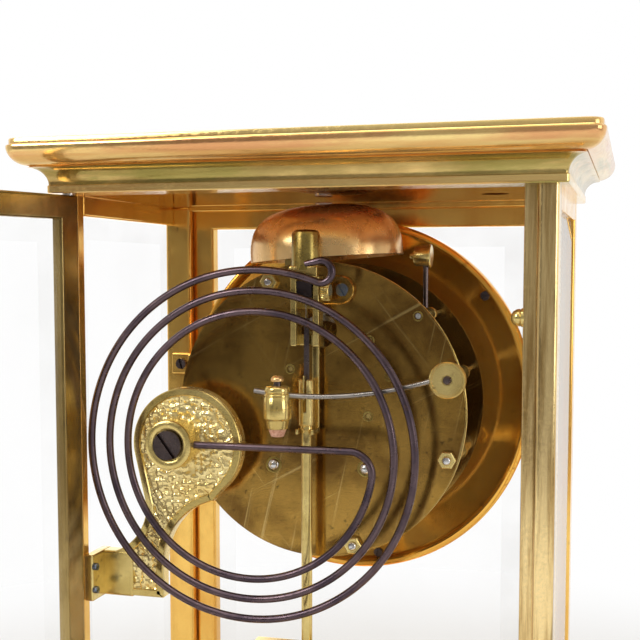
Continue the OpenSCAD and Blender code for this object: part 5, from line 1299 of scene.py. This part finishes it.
def on_dial(flat, turn):
    """Flat points (x, y, thickness) laid on the dial, turned clockwise as seen from the front."""
    c, s = np.cos(turn), np.sin(turn)
    x = flat[..., 0] * c + flat[..., 1] * s
    z = flat[..., 1] * c - flat[..., 0] * s
    return np.stack([dial_x + x, dial_face - flat[..., 2], dial_z + z], axis=-1)


def painted(name, points, faces):
    """A mesh of dial paint from points in millimetres."""
    mesh = bpy.data.meshes.new(name)
    mesh.from_pydata((points * MM).tolist(), [], faces)
    mesh.materials.append(dial_ink)
    piece = put(name, mesh)
    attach(piece, "case")


for hour, letters in enumerate(HOURS):
    words = bpy.data.curves.new(f"number_{hour}", "FONT")
    words.body = letters
    words.size = NUMBER_H
    words.align_x = "CENTER"
    words.align_y = "CENTER"
    words.extrude = INK_T / 2
    words.offset = NUMBER_FAT
    text = put(f"number_text_{hour}", words)
    letter_mesh = bpy.data.meshes.new_from_object(text.evaluated_get(bpy.context.evaluated_depsgraph_get()))
    corners = np.empty(3 * len(letter_mesh.vertices))
    letter_mesh.vertices.foreach_get("co", corners)
    flat = corners.reshape(-1, 3) * np.array([NUMBER_NARROW, 1, 1]) + np.array([0, NUMBER_R, INK_T / 2])
    faces = [list(p.vertices) for p in letter_mesh.polygons]
    painted(f"dial_number_{hour}", on_dial(flat, hour * np.pi / 6), faces)
    bpy.data.objects.remove(text)
    bpy.data.meshes.remove(letter_mesh)
minute = np.arange(60)
half_stroke = np.where(minute % 5 == 0, FIFTH_HALF, STROKE_HALF)[:, None]
corner_x = np.array([-1, 1, 1, -1, -1, 1, 1, -1])[None] * half_stroke
corner_y = np.broadcast_to(np.array([TRACK_IN, TRACK_IN, TRACK_OUT, TRACK_OUT] * 2), corner_x.shape)
corner_h = np.broadcast_to(np.array([0.0] * 4 + [INK_T] * 4), corner_x.shape)
strokes = on_dial(np.stack([corner_x, corner_y, corner_h], axis=-1), (minute * np.pi / 30)[:, None])
stroke_faces = (BOX[None] + 8 * minute[:, None, None]).reshape(-1, 4)
painted("dial_strokes", strokes.reshape(-1, 3), stroke_faces.tolist())
for name, radius in (("inner", TRACK_IN), ("outer", TRACK_OUT)):
    inner, outer = radius - LINE_HALF, radius + LINE_HALF
    line = [(inner, dial_face), (outer, dial_face), (outer, dial_face - INK_T), (inner, dial_face - INK_T)]
    lathe(f"dial_track_{name}", line, dial_place, dial_ink, sides=FINE, ring=True)
for name in ("going", "strike"):
    lathe(f"{name}_collet", [
        (3.3, dial_face + 0.2), (4.3, dial_face + 0.2), (4.3, dial_face - 0.15), (4.0, dial_face - 0.35),
        (3.5, dial_face - 0.35), (3.3, dial_face - 0.2)], axle(name + "_wind"), rim_brass, sides=64,
        ring=True)
print("dial face at", round(dial_face, 2))

# %% [markdown]
# What is left is small: the bell's hammer with its flanged brass head on a dark wire, the two brackets that
# tie the ring to the front posts, and the stud that the rear door's edge snaps over.

# %% Make the bell hammer, brackets and catch
STRIKER = "bell_hammer"
HEAD_DOWN, STEM_LEFT, HEAD_LEFT = 17.5, 1.5, -0.3
hammer_axle = axle("bell_hammer_swing")
hammer_x, _, hammer_z = hammer_axle
hammer_y = bell_crown[1]
striker_z = ceiling - HEAD_DOWN
lathe("bell_hammer_arbor", pin(ARBOR_R, low("bell_hammer")[1], high("bell_hammer")[1]), hammer_axle,
      bright_steel, STRIKER, sides=24)
lathe("bell_hammer_boss", [
    (0, hammer_y - 1.5), (1.8, hammer_y - 1.5), (2, hammer_y - 1.2), (2, hammer_y + 1.2),
    (1.8, hammer_y + 1.5), (0, hammer_y + 1.5)], hammer_axle, work_brass, STRIKER, sides=40)
lathe("bell_hammer_stem", pin(0.8, hammer_z, striker_z), (hammer_x + STEM_LEFT, hammer_y, 0), dark_steel,
      STRIKER, "z", 24)
lathe("bell_hammer_head", [
    (0, 0), (3.2, 0), (3.5, 0.25), (3.5, 0.75), (3.2, 1.0), (3.1, 1.05), (3.1, 4.8), (2.9, 5.1), (1.2, 5.2),
    (1.0, 5.3), (1.0, 6.2), (0.7, 6.6), (0, 6.6)], (hammer_x + HEAD_LEFT, hammer_y, striker_z), rim_brass,
    STRIKER, "x", 64, node="bell_hammer")
BRACKET_H, BRACKET_END = 7.2, 2.6
bracket_z = dial_z + BRACKET_UP - BRACKET_H / 2
ring_edge = math.sqrt(ring_r ** 2 - BRACKET_UP ** 2)
for side, name in ((1, "left"), (-1, "right")):
    for part, inner, outer, rear in (
            ("strap", ring_edge + 0.6, half_w - BRACKET_END, BRACKET_T - bay_d),
            ("block", ring_edge + 0.3, ring_edge + 2.4, high("ring_brackets")[1])):
        x_0, x_1 = across(side, inner, outer)
        block(f"ring_{part}_{name}", (x_0, -bay_d, bracket_z), (x_1, rear, bracket_z + BRACKET_H), 0.3,
              amber_brass, node="ring_brackets" if (part, name) == ("strap", "left") else None)
stud_y, stud_z = (low("door_catch")[1:] + high("door_catch")[1:]) / 2
lathe("catch_stud", [(0, -1), (2.5, -1), (2.5, 0.5), (2.2, 0.8), (2.35, 1.1), (2.2, 1.9), (1.7, 2.7),
                     (0.9, 3.2), (0, 3.3)], (strip_x, stud_y, stud_z), rim_brass, axis="x", sides=48,
      node="door_catch")
print("bracket height", BRACKET_H, "catch at", round(stud_z, 1))
